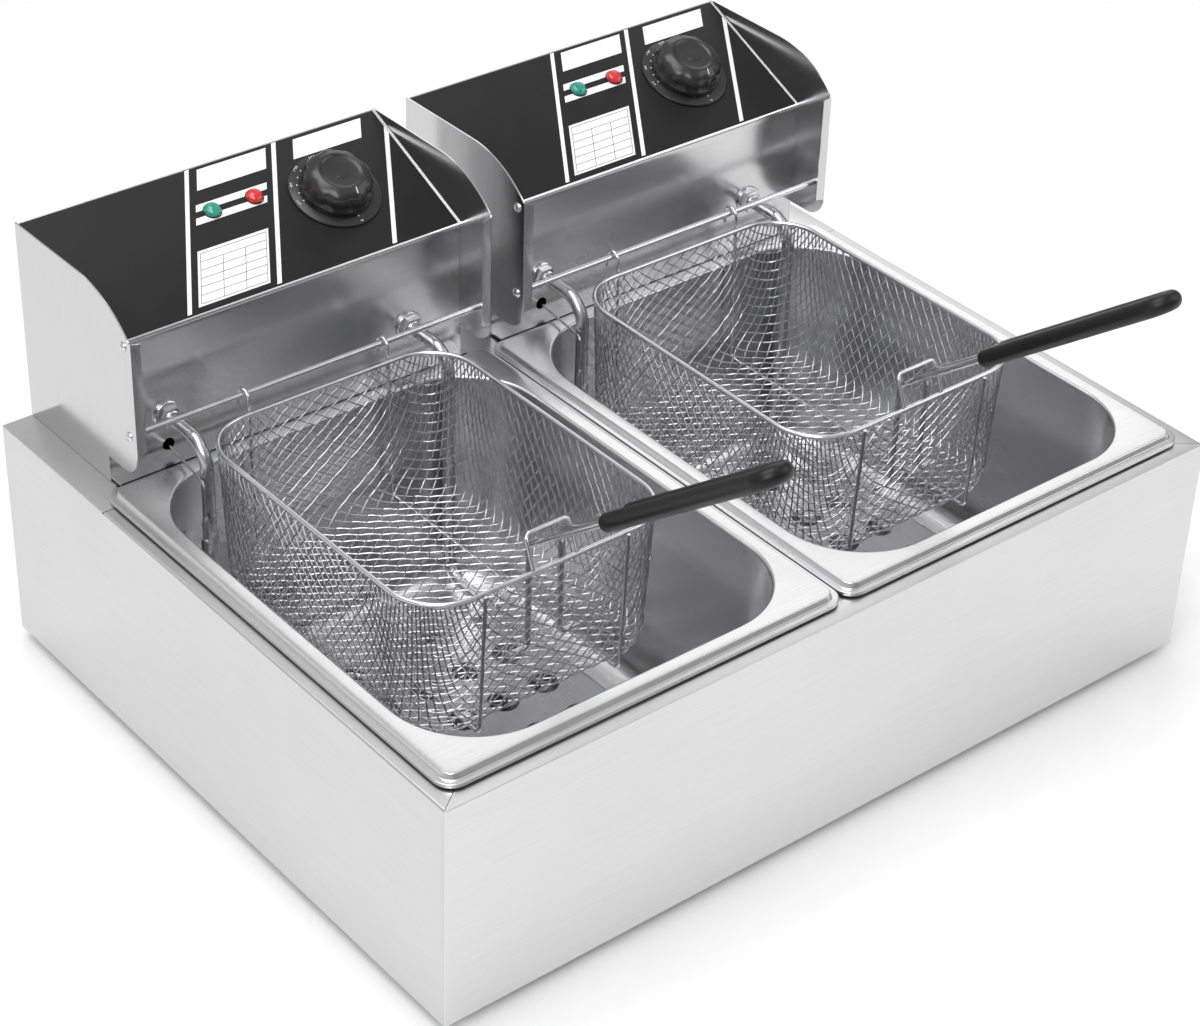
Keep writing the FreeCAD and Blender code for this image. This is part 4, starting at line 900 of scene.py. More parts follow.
@dataclass
class Head(Unit):
    """One lift-off control head, in millimetres from its unit's middle and the deck."""

    body: ClassVar[str] = "head"
    front: float = 129.0
    back: float = 218.0
    half: float = 124.0
    foot: float = 0.2
    skirt_front: float = 120.2
    skirt_level: float = 1.6
    skirt_inset: float = 1.2
    sheet: float = 1.0
    skin: float = 0.9
    lip_height: float = 88.5
    lip_drop: float = 4.6
    lip_bend: float = 2.4
    slope: float = 23.4
    panel_length: float = 98.07
    cheek_top: float = 128.45
    cheek_reach: float = 31.0
    arc_run: float = 52.0
    arc_drop: float = 22.5
    cheek_return: float = 7.0
    cheek_bend: float = 1.2
    cheek_slant: float = 1.5
    ear_height: float = 18.0
    ear_radius: float = 14.0
    guard_half_x: float = 83.0
    guard_half_y: float = 94.5
    guard_middle: float = -53.5
    guard_level: float = -124.7
    guard_corner: float = 6.0
    guard_hole: float = 9.5
    guard_count: int = 5
    guard_column: float = 29.5
    guard_row: float = 35.5
    guard_first: float = -112.0
    rail_y: float = 104.5
    rail_height: float = 43.5
    rail_radius: float = 2.0
    upper_screw: float = 101.95
    dial_across: float = 64.0
    dial_up: float = 50.0
    dial_off: float = 176.0
    numeral_reach: float = 26.2
    dot_reach: float = 23.3
    dot_radius: float = 0.45
    knob_gap: float = 2.8
    lamp_up: float = 64.0
    print_slant: float = 0.58
    ink: float = 0.06
    overlay: float = 0.4

    def on_panel(self, across: float = 0.0, up: float = 0.0, above: float = 0.0) -> Matrix:
        """Gives the place of something that sits square on the control panel.

        Args:
            across: Its distance from the middle.
            up: Its distance up the slope from the lip.
            above: Its height off the panel.

        Returns:
            The matrix from the piece's own axes to the unit's.
        """
        origin = Matrix.Translation((0, self.front - self.sheet, self.lip_height))
        tilt = Matrix.Rotation(math.radians(self.slope), 4, "X")
        return origin @ tilt @ Matrix.Translation((across, up, above))

    def build(self) -> None:
        """Builds the sheets, the panel's fittings and what hangs in the pan."""
        dress(self.name("head_shell"), HEAD_STEEL)
        self.front_skirt()
        self.control_panel()
        for sign, hand in ((-1, "left"), (1, "right")):
            self.cheek(sign, hand)
        self.printed_sheet()
        self.dial()
        self.knob()
        self.lamps()
        self.rail_and_screws()
        self.element()
        self.sensor()
        self.gland()
        self.guard()
        dress(self.name("thermostat"), MOULDING_BLACK)
        dress(self.name("knob_shaft"), BRIGHT_WIRE)
        dress(self.name("sensor_clip"), ELEMENT_STEEL)

    def front_skirt(self) -> None:
        """Turns the foot of the front sheet forward over the deck, up to the pan."""
        x, y, z = self.half - self.skirt_inset, self.front + self.skin, self.skirt_level
        outline = [Vector((-x, self.skirt_front, z)), Vector((x, self.skirt_front, z)), Vector((x, y, z)),
                   Vector((-x, y, z))]
        self.lay("front_skirt", plate(outline, self.sheet), HEAD_STEEL)

    def control_panel(self) -> None:
        """Folds the sloped panel with its lip."""
        x, y, z = self.half - self.sheet, self.front - self.sheet, self.lip_height
        tilt = math.radians(self.slope)
        far_y, far_z = y + self.panel_length * math.cos(tilt), z + self.panel_length * math.sin(tilt)
        top = [(-x, y, z), (x, y, z), (x, far_y, far_z), (-x, far_y, far_z)]
        lip = [(-x, y, z - self.lip_drop), (x, y, z - self.lip_drop), (x, y, z), (-x, y, z)]
        self.lay("panel_sheet", folded([top, lip], self.lip_bend, self.skin, 6), HEAD_STEEL, "control_panel")

    def cheek(self, sign: int, hand: str) -> None:
        """Cuts one cheek with its curved shoulder and folded front edge.

        Args:
            sign: -1 for the left cheek, 1 for the right.
            hand: The cheek's name.
        """
        nose = self.front - self.cheek_reach
        shoulder = self.cheek_top - self.arc_drop
        radius = (self.arc_run ** 2 + self.arc_drop ** 2) / (2 * self.arc_drop)
        outline = [(self.front, self.foot), (self.back, self.foot), (self.back, self.cheek_top)]
        sweep = math.asin(self.arc_run / radius)
        for step in range(19):
            angle = sweep * step / 18
            outline.append((nose + self.arc_run - radius * math.sin(angle),
                            self.cheek_top - radius * (1 - math.cos(angle))))
        low = self.ear_height + self.ear_radius
        for step in range(9):
            angle = math.pi / 2 * step / 8
            outline.append((nose + self.ear_radius * (1 - math.cos(angle)),
                            low - self.ear_radius * math.sin(angle)))
        outline.append((self.front, self.ear_height))
        x, inner = sign * self.half, sign * (self.half - self.cheek_return)
        wall = [(x, y, z) for y, z in outline]
        fold = [(x, nose, low), (x, nose, shoulder), (inner, nose, shoulder - self.cheek_slant),
                (inner, nose, low + self.cheek_slant)]
        faces = [wall, fold] if sign > 0 else [wall[::-1], fold[::-1]]
        draft = folded(faces, self.cheek_bend, self.skin)
        self.lay(f"cheek_{hand}_sheet", draft, CHEEK_STEEL, f"cheek_{hand}")

    def slanted(self, left: float, width: float, top: float, bottom: float, level: float) -> list[Vector]:
        """Gives a slanted printed field.

        Args:
            left: Its left edge, carried up to the panel's back edge.
            width: Its size across.
            top: Its upper edge, down from the panel's back edge.
            bottom: Its lower edge, down from the panel's back edge.
            level: Its height off the panel.

        Returns:
            Its corners on the panel's own axes.
        """
        reach = self.panel_length - self.sheet
        corners = []
        for down, across in ((bottom, 0.0), (bottom, width), (top, width), (top, 0.0)):
            corners.append(Vector((left + across - self.print_slant * down, reach - down, level)))
        return corners

    def printed_sheet(self) -> None:
        """Lays the black printed sheet with its white dividers, fields and ruled table."""
        half, low, high = self.half - 2 * self.sheet, 1.1 * self.sheet, self.panel_length - self.sheet
        sheet = plate(rounded_loop(half, (high - low) / 2, 0.6, 0, (high + low) / 2, 3), self.overlay, 0.12)
        self.lay("overlay_sheet", moved(sheet, self.on_panel()), OVERLAY_BLACK, "panel_overlay")
        level, end = self.overlay, self.panel_length - 3.2
        white = [self.slanted(-12.2, 2.9, 0.4, end, level), self.slanted(48.4, 3.1, 0.4, end, level),
                 self.slanted(-3.8, 48.0, 2.2, 16.4, level), self.slanted(-5.0, 49.0, 25.8, 30.4, level),
                 self.slanted(-5.0, 49.0, 34.6, 39.2, level), self.slanted(-4.7, 48.4, 56.4, 92.2, level),
                 self.slanted(63.7, 49.2, 2.6, 16.4, level), self.edge_divider(level, end)]
        fields = join([plate(outline, self.ink) for outline in white])
        self.lay("print_fields", moved(fields, self.on_panel()), PRINT_WHITE)
        rules = join([plate(outline, self.ink / 2) for outline in self.table_rules(level + self.ink)])
        self.lay("print_rules", moved(rules, self.on_panel()), PRINT_BLACK)

    def edge_divider(self, level: float, end: float) -> list[Vector]:
        """Gives the divider that runs out at the right edge of the sheet."""
        reach, edge = self.panel_length - self.sheet, self.half - 2 * self.sheet - 0.3
        left, width = 129.6, 3.2
        starts = [(left - edge) / self.print_slant, (left + width - edge) / self.print_slant]
        return [Vector((left - self.print_slant * end, reach - end, level)),
                Vector((left + width - self.print_slant * end, reach - end, level)),
                Vector((edge, reach - starts[1], level)), Vector((edge, reach - starts[0], level))]

    def table_rules(self, level: float) -> list[list[Vector]]:
        """Gives the ruled lines of the table field."""
        left, width, top, bottom, pen = -2.9, 44.8, 58.2, 90.4, 0.35
        rows = [top + (bottom - top) * row / 6 for row in range(7)]
        rules = [self.slanted(left, width, row, row + pen, level) for row in rows]
        for across, start in ((0.0, top), (0.34, rows[1]), (0.68, rows[1]), (1.0, top)):
            rules.append(self.slanted(left + across * width, pen, start, bottom + pen, level))
        return rules

    def dial(self) -> None:
        """Turns the fixed dial ring and prints its numbers and dots."""
        profile = [(4.0, 0.0), (28.0, 0.0), (28.5, 0.4), (28.5, 1.1), (28.1, 1.6), (24.0, 2.5), (4.0, 2.5),
                   (4.0, 0.0)]
        place = self.on_panel(self.dial_across, self.dial_up, self.overlay)
        self.lay("dial_plate", moved(spun(profile, 72), place), KNOB_BLACK, "dial_ring")
        marks = []
        for number, clock in (("60", -92), ("90", -62), ("120", -32), ("150", 0), ("180", 32), ("200", 62),
                              ("0", self.dial_off)):
            marks.append(self.numeral(number, clock))
        for clock in (-92, -77, -62, -47, -32, -16, 0, 16, 32, 47, 62, self.dial_off):
            angle = math.radians(90 - clock)
            x, y = self.dot_reach * math.cos(angle), self.dot_reach * math.sin(angle)
            dot = circle(self.dot_radius, 10, x, y)
            marks.append(moved(plate(dot, 0.08), Matrix.Translation((0, 0, 2.48))))
        self.lay("dial_marks", moved(join(marks), place), KNOB_PRINT)

    def numeral(self, text: str, clock: float) -> BMesh:
        """Cuts a printed number that stands on the dial.

        Args:
            text: The number.
            clock: Its place, in degrees clockwise from the top.

        Returns:
            The draft on the dial's own axes.
        """
        curve = bpy.data.curves.new("numeral", "FONT")
        curve.body = text
        curve.size = 3.4
        curve.extrude = 0.04
        curve.align_x = "CENTER"
        curve.align_y = "CENTER"
        cone_drop, cone_run, level = 0.9, 4.1, 2.05
        lean = Matrix.Rotation(-math.atan(cone_drop / cone_run), 4, "Y")
        turn = Matrix.Rotation(math.radians(90 - clock), 4, "Z")
        stand = turn @ Matrix.Translation((self.numeral_reach, 0, level)) @ lean
        return moved(meshed(curve), stand @ Matrix.Rotation(-math.pi / 2, 4, "Z"))

    def knob(self) -> None:
        """Models the fluted knob with its skirt, dished crown, bare boss and pointer."""
        flutes, turns = 9, 144
        shape = [(0.0, 19.4, 0.0), (0.0, 22.3, 0.0), (0.5, 22.5, 0.0), (2.6, 22.5, 0.0), (3.4, 22.3, 0.1),
                 (4.2, 21.9, 0.5), (7.0, 21.6, 0.9), (9.8, 21.1, 1.0), (11.8, 20.2, 0.9), (13.4, 18.6, 0.6),
                 (14.7, 16.4, 0.3), (15.5, 14.5, 0.0), (15.8, 13.2, 0.0), (15.6, 12.5, 0.0),
                 (15.1, 12.0, 0.0), (14.9, 11.0, 0.0), (14.9, 4.9, 0.0), (15.2, 4.6, 0.0), (15.2, 2.0, 0.0)]
        rings = []
        for height, radius, cut in shape:
            ring = []
            for turn in range(turns):
                angle = math.tau * turn / turns
                wave = (1 - math.cos(flutes * angle)) / 2
                reach = radius - cut * wave ** 2
                ring.append(Vector((reach * math.cos(angle), reach * math.sin(angle), height)))
            rings.append(ring)
        draft = loft(rings, cap_first=True, cap_last=True)
        crown_reach, crown_level, crown_slope = 16.9, 14.35, math.radians(38)
        pointer = plate(rounded_loop(3.2, 0.35, 0.3, 0, 0, 3), 0.12)
        turn = Matrix.Rotation(math.radians(90 - self.dial_off), 4, "Z")
        pointer = moved(pointer, turn @ Matrix.Translation((crown_reach, 0, crown_level))
                        @ Matrix.Rotation(crown_slope, 4, "Y"))
        place = self.on_panel(self.dial_across, self.dial_up, self.overlay + self.knob_gap)
        self.lay("knob_cap", moved(draft, place), KNOB_BLACK, "knob", "knob", 40.0)
        self.lay("knob_pointer", moved(pointer, place), KNOB_PRINT, body="knob")

    def lamps(self) -> None:
        """Turns the two lamps: a black seat and a cut lens."""
        for colour, across, finish in (("green", -13.0, LENS_GREEN), ("red", 16.0, LENS_RED)):
            place = self.on_panel(across, self.lamp_up, self.overlay)
            seat = spun([(0, 0), (5.75, 0), (5.75, 0.5), (5.5, 0.8), (4.9, 0.8), (0, 0.8)], 40)
            self.lay(f"{colour}_lamp_seat", moved(seat, place), MOULDING_BLACK)
            lens = spun([(0, 0.6), (5.3, 0.6), (5.4, 1.0), (5.2, 1.7), (4.4, 2.9), (3.2, 3.6), (1.6, 3.95),
                         (0, 4.0)], 14)
            self.lay(f"{colour}_lamp_lens", moved(lens, place), finish, f"{colour}_lamp", sharp=12.0)

    def rail_and_screws(self) -> None:
        """Sets the basket rail and the domed screws with their ringed heads."""
        end = self.half - self.sheet - 0.1
        line = [Vector((x, self.rail_y, self.rail_height)) for x in (-end, end)]
        self.lay("rail_rod", drawn_wire([line], self.rail_radius, facets=6), BRIGHT_WIRE, "basket_rail")
        head = [(0, 0), (3.0, 0), (3.0, 0.5), (2.7, 0.9), (2.2, 1.0), (2.0, 0.8), (1.7, 1.2), (1.0, 1.5),
                (0, 1.6)]
        screws = []
        for sign in (-1, 1):
            for height in (self.rail_height, self.upper_screw):
                turn = Matrix.Rotation(sign * math.pi / 2, 4, "Y")
                place = Matrix.Translation((sign * self.half, self.rail_y, height))
                screws.append(moved(spun(head, 28), place @ turn))
        self.lay("screw_heads", join(screws), BRIGHT_WIRE, "cheek_screws")

    def element(self) -> None:
        """Bends the heating tube and turns its nuts and washers."""
        spread, leg, top, low, inside = 85.0, 88.0, 31.0, -130.0, self.front + 20
        near, far, pitch, bend, radius = leg - 238.0, leg - 45.0, 34.0, 16.98, 4.0
        corners = [(-spread, inside, top), (-spread, leg, top), (-spread, leg, low)]
        for index in range(5):
            y = near if index % 2 == 0 else far
            corners += [(-spread + index * pitch, y, low), (-spread + (index + 1) * pitch, y, low)]
        corners += [(spread, leg, low), (spread, leg, top), (spread, inside, top)]
        tube = drawn_wire([bent(corners, bend, steps=12)], radius, facets=6)
        self.lay("element_tube", tube, ELEMENT_STEEL, "heating_element")
        fittings = []
        for sign in (-1, 1):
            turn = Matrix.Translation((sign * spread, self.front, top)) @ Matrix.Rotation(math.pi / 2, 4, "X")
            washer = spun([(4.1, 0), (8.6, 0), (9.0, 0.4), (9.0, 1.1), (8.6, 1.5), (4.1, 1.5), (4.1, 0)], 40)
            nut = plate(circle(7.5, 6, z=1.5), 4.4, 0.7)
            collar = spun([(4.1, 1.5), (5.4, 1.5), (5.4, 7.0), (5.0, 7.4), (4.1, 7.4), (4.1, 1.5)], 32)
            fittings += [moved(part, turn) for part in (washer, nut, collar)]
        self.lay("element_nuts", join(fittings), BRIGHT_WIRE, "element_fittings")

    def guard(self) -> None:
        """Punches the loose guard plate that lies on the coil."""
        level, count = self.guard_level, self.guard_count
        loops = [rounded_loop(self.guard_half_x, self.guard_half_y, self.guard_corner, level,
                              self.guard_middle, 6)]
        for row in range(count):
            for column in range(count):
                x, y = (column - count // 2) * self.guard_column, self.guard_first + row * self.guard_row
                loops.append(circle(self.guard_hole, 32, x, y, level))
        draft = bmesh.new()
        edges = []
        for loop in loops:
            corners = [draft.verts.new(point) for point in loop]
            edges += [draft.edges.new((corners[k - 1], corners[k])) for k in range(len(corners))]
        bmesh.ops.triangle_fill(draft, use_beauty=True, edges=edges, normal=(0, 0, 1))
        bmesh.ops.recalc_face_normals(draft, faces=draft.faces[:])
        bmesh.ops.solidify(draft, geom=draft.faces[:], thickness=self.sheet)
        bmesh.ops.recalc_face_normals(draft, faces=draft.faces[:])
        # The plate's darker steel is painted shade for its place deep in the pan.
        self.lay("guard_sheet", draft, SHADED_GUARD_STEEL, "guard_plate")

    def sensor(self) -> None:
        """Draws the sensor bulb with its capillary."""
        x, y, top, length, level, bend, radius = -91.01, 81.99, -12.0, 52.0, 11.0, 4.0, 0.75
        bulb = spun([(0, -length), (1.6, -length + 0.3), (2.5, -length + 1.6), (2.5, -3.0), (1.2, 0.0),
                     (0, 0.2)], 28)
        line = bent([(-85.0, self.front + 2, level), (x, y, level), (x, y, top)], bend)
        draft = join([moved(bulb, Matrix.Translation((x, y, top))), drawn_wire([line], radius)])
        self.lay("sensor_probe", draft, ELEMENT_STEEL, "sensor_bulb")

    def gland(self) -> None:
        """Turns the cord gland at the back."""
        profile = [(4.0, -6.0), (11.0, -6.0), (11.0, -1.0), (8.0, -1.0), (8.0, 0.0), (10.6, 0.0), (11.0, 0.5),
                   (11.0, 4.4), (10.5, 5.0), (8.2, 5.0), (7.9, 7.0), (7.2, 10.0), (6.2, 11.7), (5.4, 12.0),
                   (4.2, 11.6), (4.0, 10.8), (4.0, -6.0)]
        across, height = -80.0, 32.0
        place = Matrix.Translation((across, self.back, height)) @ Matrix.Rotation(-math.pi / 2, 4, "X")
        self.lay("gland_nut", moved(spun(profile, 40), place), MOULDING_BLACK, "cord_gland")


@dataclass
class Weave:
    """Woven wire pressed into a basket: wires of two ways that run along the lines of the flat sheet."""

    half_x: float
    half_y: float
    corner: float
    lean: float
    top: float
    floor: float
    middle: float
    pitch: float = 6.5
    slant: float = 34.5
    wire: float = 0.46
    crimp: float = 0.3
    bend: float = 9.0
    pull: float = 30.0
    step: float = 3.0

    def build(self) -> BMesh:
        """Weaves the walls and the floor.

        Returns:
            The draft.
        """
        lines = self.wall_lines() + self.floor_lines()
        return drawn_wire(lines, self.wire, facets=1)

    def profile(self) -> list[tuple[float, float, float, Vector]]:
        """Gives the wall's section from the floor up: run along it, inset, height and normal (out, up)."""
        wall = math.atan2(self.lean, self.top - self.floor)
        swing = math.pi / 2 - wall
        rows = []
        count = max(4, round(self.bend * swing / self.step))
        foot = self.lean + self.bend * (math.cos(wall) - math.tan(wall) * (1 - math.sin(wall)))
        for k in range(count + 1):
            angle = swing * k / count
            rows.append((self.bend * angle, foot - self.bend * math.sin(angle),
                         self.floor + self.bend * (1 - math.cos(angle)),
                         Vector((math.sin(angle), -math.cos(angle)))))
        run, inset, height, normal = rows[-1]
        length = (self.top - height) / math.cos(wall)
        count = max(4, round(length / self.step))
        for k in range(1, count + 1):
            share = k / count
            rows.append((run + length * share, inset * (1 - share), height + (self.top - height) * share,
                         normal))
        return rows

    def outline(self) -> list[tuple[Vector, float]]:
        """Gives the plan as core points and the way out from each, all round."""
        core_x, core_y = self.half_x - self.corner, self.half_y - self.corner
        stops = [((core_x, -core_y), (core_x, core_y)), ((core_x, core_y), (-core_x, core_y)),
                 ((-core_x, core_y), (-core_x, -core_y)), ((-core_x, -core_y), (core_x, -core_y))]
        plan = []
        for quarter, (start, stop) in enumerate(stops):
            first, last = Vector(start), Vector(stop)
            count = round((last - first).length / self.step)
            plan += [(first.lerp(last, k / count), quarter * math.pi / 2) for k in range(count)]
            turn = round(self.corner * math.pi / 2 / self.step)
            plan += [(last, (quarter + k / turn) * math.pi / 2) for k in range(turn)]
        return plan

    def eased(self, plan: list[tuple[Vector, float]]) -> list[float]:
        """Gives the way out averaged over a stretch of wall, as the press pulls the sheet round corners."""
        ring = [core + Vector((math.cos(angle), math.sin(angle))) * self.corner for core, angle in plan]
        gaps = [(b - a).length for a, b in zip(ring, ring[1:] + ring[:1])]
        length = sum(gaps)
        marks = np.concatenate([[0.0], np.cumsum(gaps)])
        angles = np.array([angle for core, angle in plan] + [math.tau])
        spans = np.concatenate([marks[:-1] - length, marks[:-1], marks + length])
        turned = np.concatenate([angles[:-1] - math.tau, angles[:-1], angles + math.tau])
        area = np.concatenate([[0.0], np.cumsum((turned[1:] + turned[:-1]) / 2 * np.diff(spans))])
        low = np.interp(marks[:-1] - self.pull, spans, area)
        high = np.interp(marks[:-1] + self.pull, spans, area)
        return list((high - low) / (2 * self.pull))

    def wall_lines(self) -> list[list[Vector]]:
        """Follows the wires over the walls, over and under each other."""
        plan, rows = self.outline(), self.profile()
        ways = self.eased(plan)
        places, normals, sheet = [], [], []
        across, ahead = math.sin(math.radians(self.slant)), math.cos(math.radians(self.slant))
        for (core, angle), way in zip(plan, ways):
            out = Vector((math.cos(angle), math.sin(angle)))
            base = core + out * (self.corner - rows[0][1])
            for run, inset, height, normal in rows:
                spot = core + out * (self.corner - inset)
                places.append(Vector((spot.x, spot.y + self.middle, height)))
                normals.append(Vector((out.x * normal.x, out.y * normal.x, normal.y)))
                flat = base + Vector((math.cos(way), math.sin(way))) * run
                sheet.append(((flat.y * ahead + flat.x * across) / self.pitch,
                              (flat.y * ahead - flat.x * across) / self.pitch))
        lines = []
        for way in (0, 1):
            along, other = [point[way] for point in sheet], [point[1 - way] for point in sheet]
            for chain, level in self.contours(len(plan), len(rows), along):
                lines.append(self.crimped(chain, level + way, places, normals, other))
        return [line for line in lines if len(line) > 1]

    def contours(self, around: int, high: int, field: list[float]) -> list[tuple[list, int]]:
        """Follows the whole-number levels of a field over the wall's grid.

        Args:
            around: The grid's columns, which close on themselves.
            high: The grid's rows.
            field: The field at each grid point, column by column.

        Returns:
            For each line, its crossings as (point, point, share), and its level.
        """
        links: dict[tuple, list] = {}
        for i in range(around):
            for j in range(high - 1):
                a, b = i * high + j, ((i + 1) % around) * high + j
                for corners in ((a, b, b + 1), (a, b + 1, a + 1)):
                    values = [field[corner] for corner in corners]
                    for level in range(math.ceil(min(values)), math.floor(max(values)) + 1):
                        cut = [tuple(sorted(pair)) for pair in zip(corners, corners[1:] + corners[:1])
                               if (field[pair[0]] < level) != (field[pair[1]] < level)]
                        if len(cut) == 2:
                            links.setdefault((cut[0], level), []).append((cut[1], level))
                            links.setdefault((cut[1], level), []).append((cut[0], level))
        chains = []
        seen: set = set()
        for start in sorted(links, key=lambda key: (len(links[key]), key)):
            if start in seen:
                continue
            chain, here = [], start
            while here is not None:
                seen.add(here)
                chain.append(here)
                here = next((key for key in links[here] if key not in seen), None)
            crossings = []
            for (p, q), level in chain:
                crossings.append((p, q, (level - field[p]) / (field[q] - field[p])))
            chains.append((crossings, start[1]))
        return chains

    def crimped(self, chain: list, parity: int, places: list[Vector], normals: list[Vector],
                across: list[float]) -> list[Vector]:
        """Gives a wire's line, lifted and lowered where it crosses the other wires.

        Args:
            chain: The wire's crossings of the grid.
            parity: Odd or even, which sets whether it starts over or under.
            places: The grid's points.
            normals: The way out at each grid point.
            across: The other way's field at each grid point.

        Returns:
            The line's points at each crossing and half-way between.
        """
        spots = [(places[p].lerp(places[q], t), normals[p].lerp(normals[q], t),
                  across[p] + (across[q] - across[p]) * t) for p, q, t in chain]
        points = []
        for (place, normal, phase), (next_place, next_normal, next_phase) in zip(spots, spots[1:]):
            steps = sorted(k / 2 for k in range(math.ceil(min(phase, next_phase) * 2),
                                                math.floor(max(phase, next_phase) * 2) + 1))
            for mark in steps if next_phase > phase else steps[::-1]:
                share = (mark - phase) / (next_phase - phase) if next_phase != phase else 0.0
                lift = self.crimp * math.cos(math.pi * (mark + parity))
                points.append(place.lerp(next_place, share) + normal.lerp(next_normal, share) * lift)
        return self.ended(spots, points)

    def ended(self, spots: list, points: list[Vector]) -> list[Vector]:
        """Adds a wire's two ends to its line, and drops points that fall together."""
        line = [spots[0][0], *points, spots[-1][0]]
        kept = [line[0]]
        for place in line[1:]:
            if (place - kept[-1]).length > self.wire:
                kept.append(place)
        return kept

    def floor_lines(self) -> list[list[Vector]]:
        """Lays the wires straight over the floor."""
        inset = self.profile()[0][1]
        half_x, half_y, radius = self.half_x - inset, self.half_y - inset, self.corner - inset
        reach = math.ceil((half_x + half_y) / self.pitch)
        across, ahead = math.sin(math.radians(self.slant)), math.cos(math.radians(self.slant))
        lines = []
        for way in (0, 1):
            for level in range(-reach, reach + 1):
                line = []
                for mark in range(-4 * reach, 4 * reach + 1):
                    p, q = (level, mark / 4) if way == 0 else (mark / 4, level)
                    x, y = (p - q) * self.pitch / (2 * across), (p + q) * self.pitch / (2 * ahead)
                    gap_x, gap_y = max(abs(x) - half_x + radius, 0), max(abs(y) - half_y + radius, 0)
                    if math.hypot(gap_x, gap_y) <= radius:
                        lift = self.crimp * math.cos(math.pi * (mark / 4 + level + way))
                        line.append(Vector((x, y + self.middle, self.floor + lift)))
                if len(line) > 1:
                    lines.append(line)
        return lines


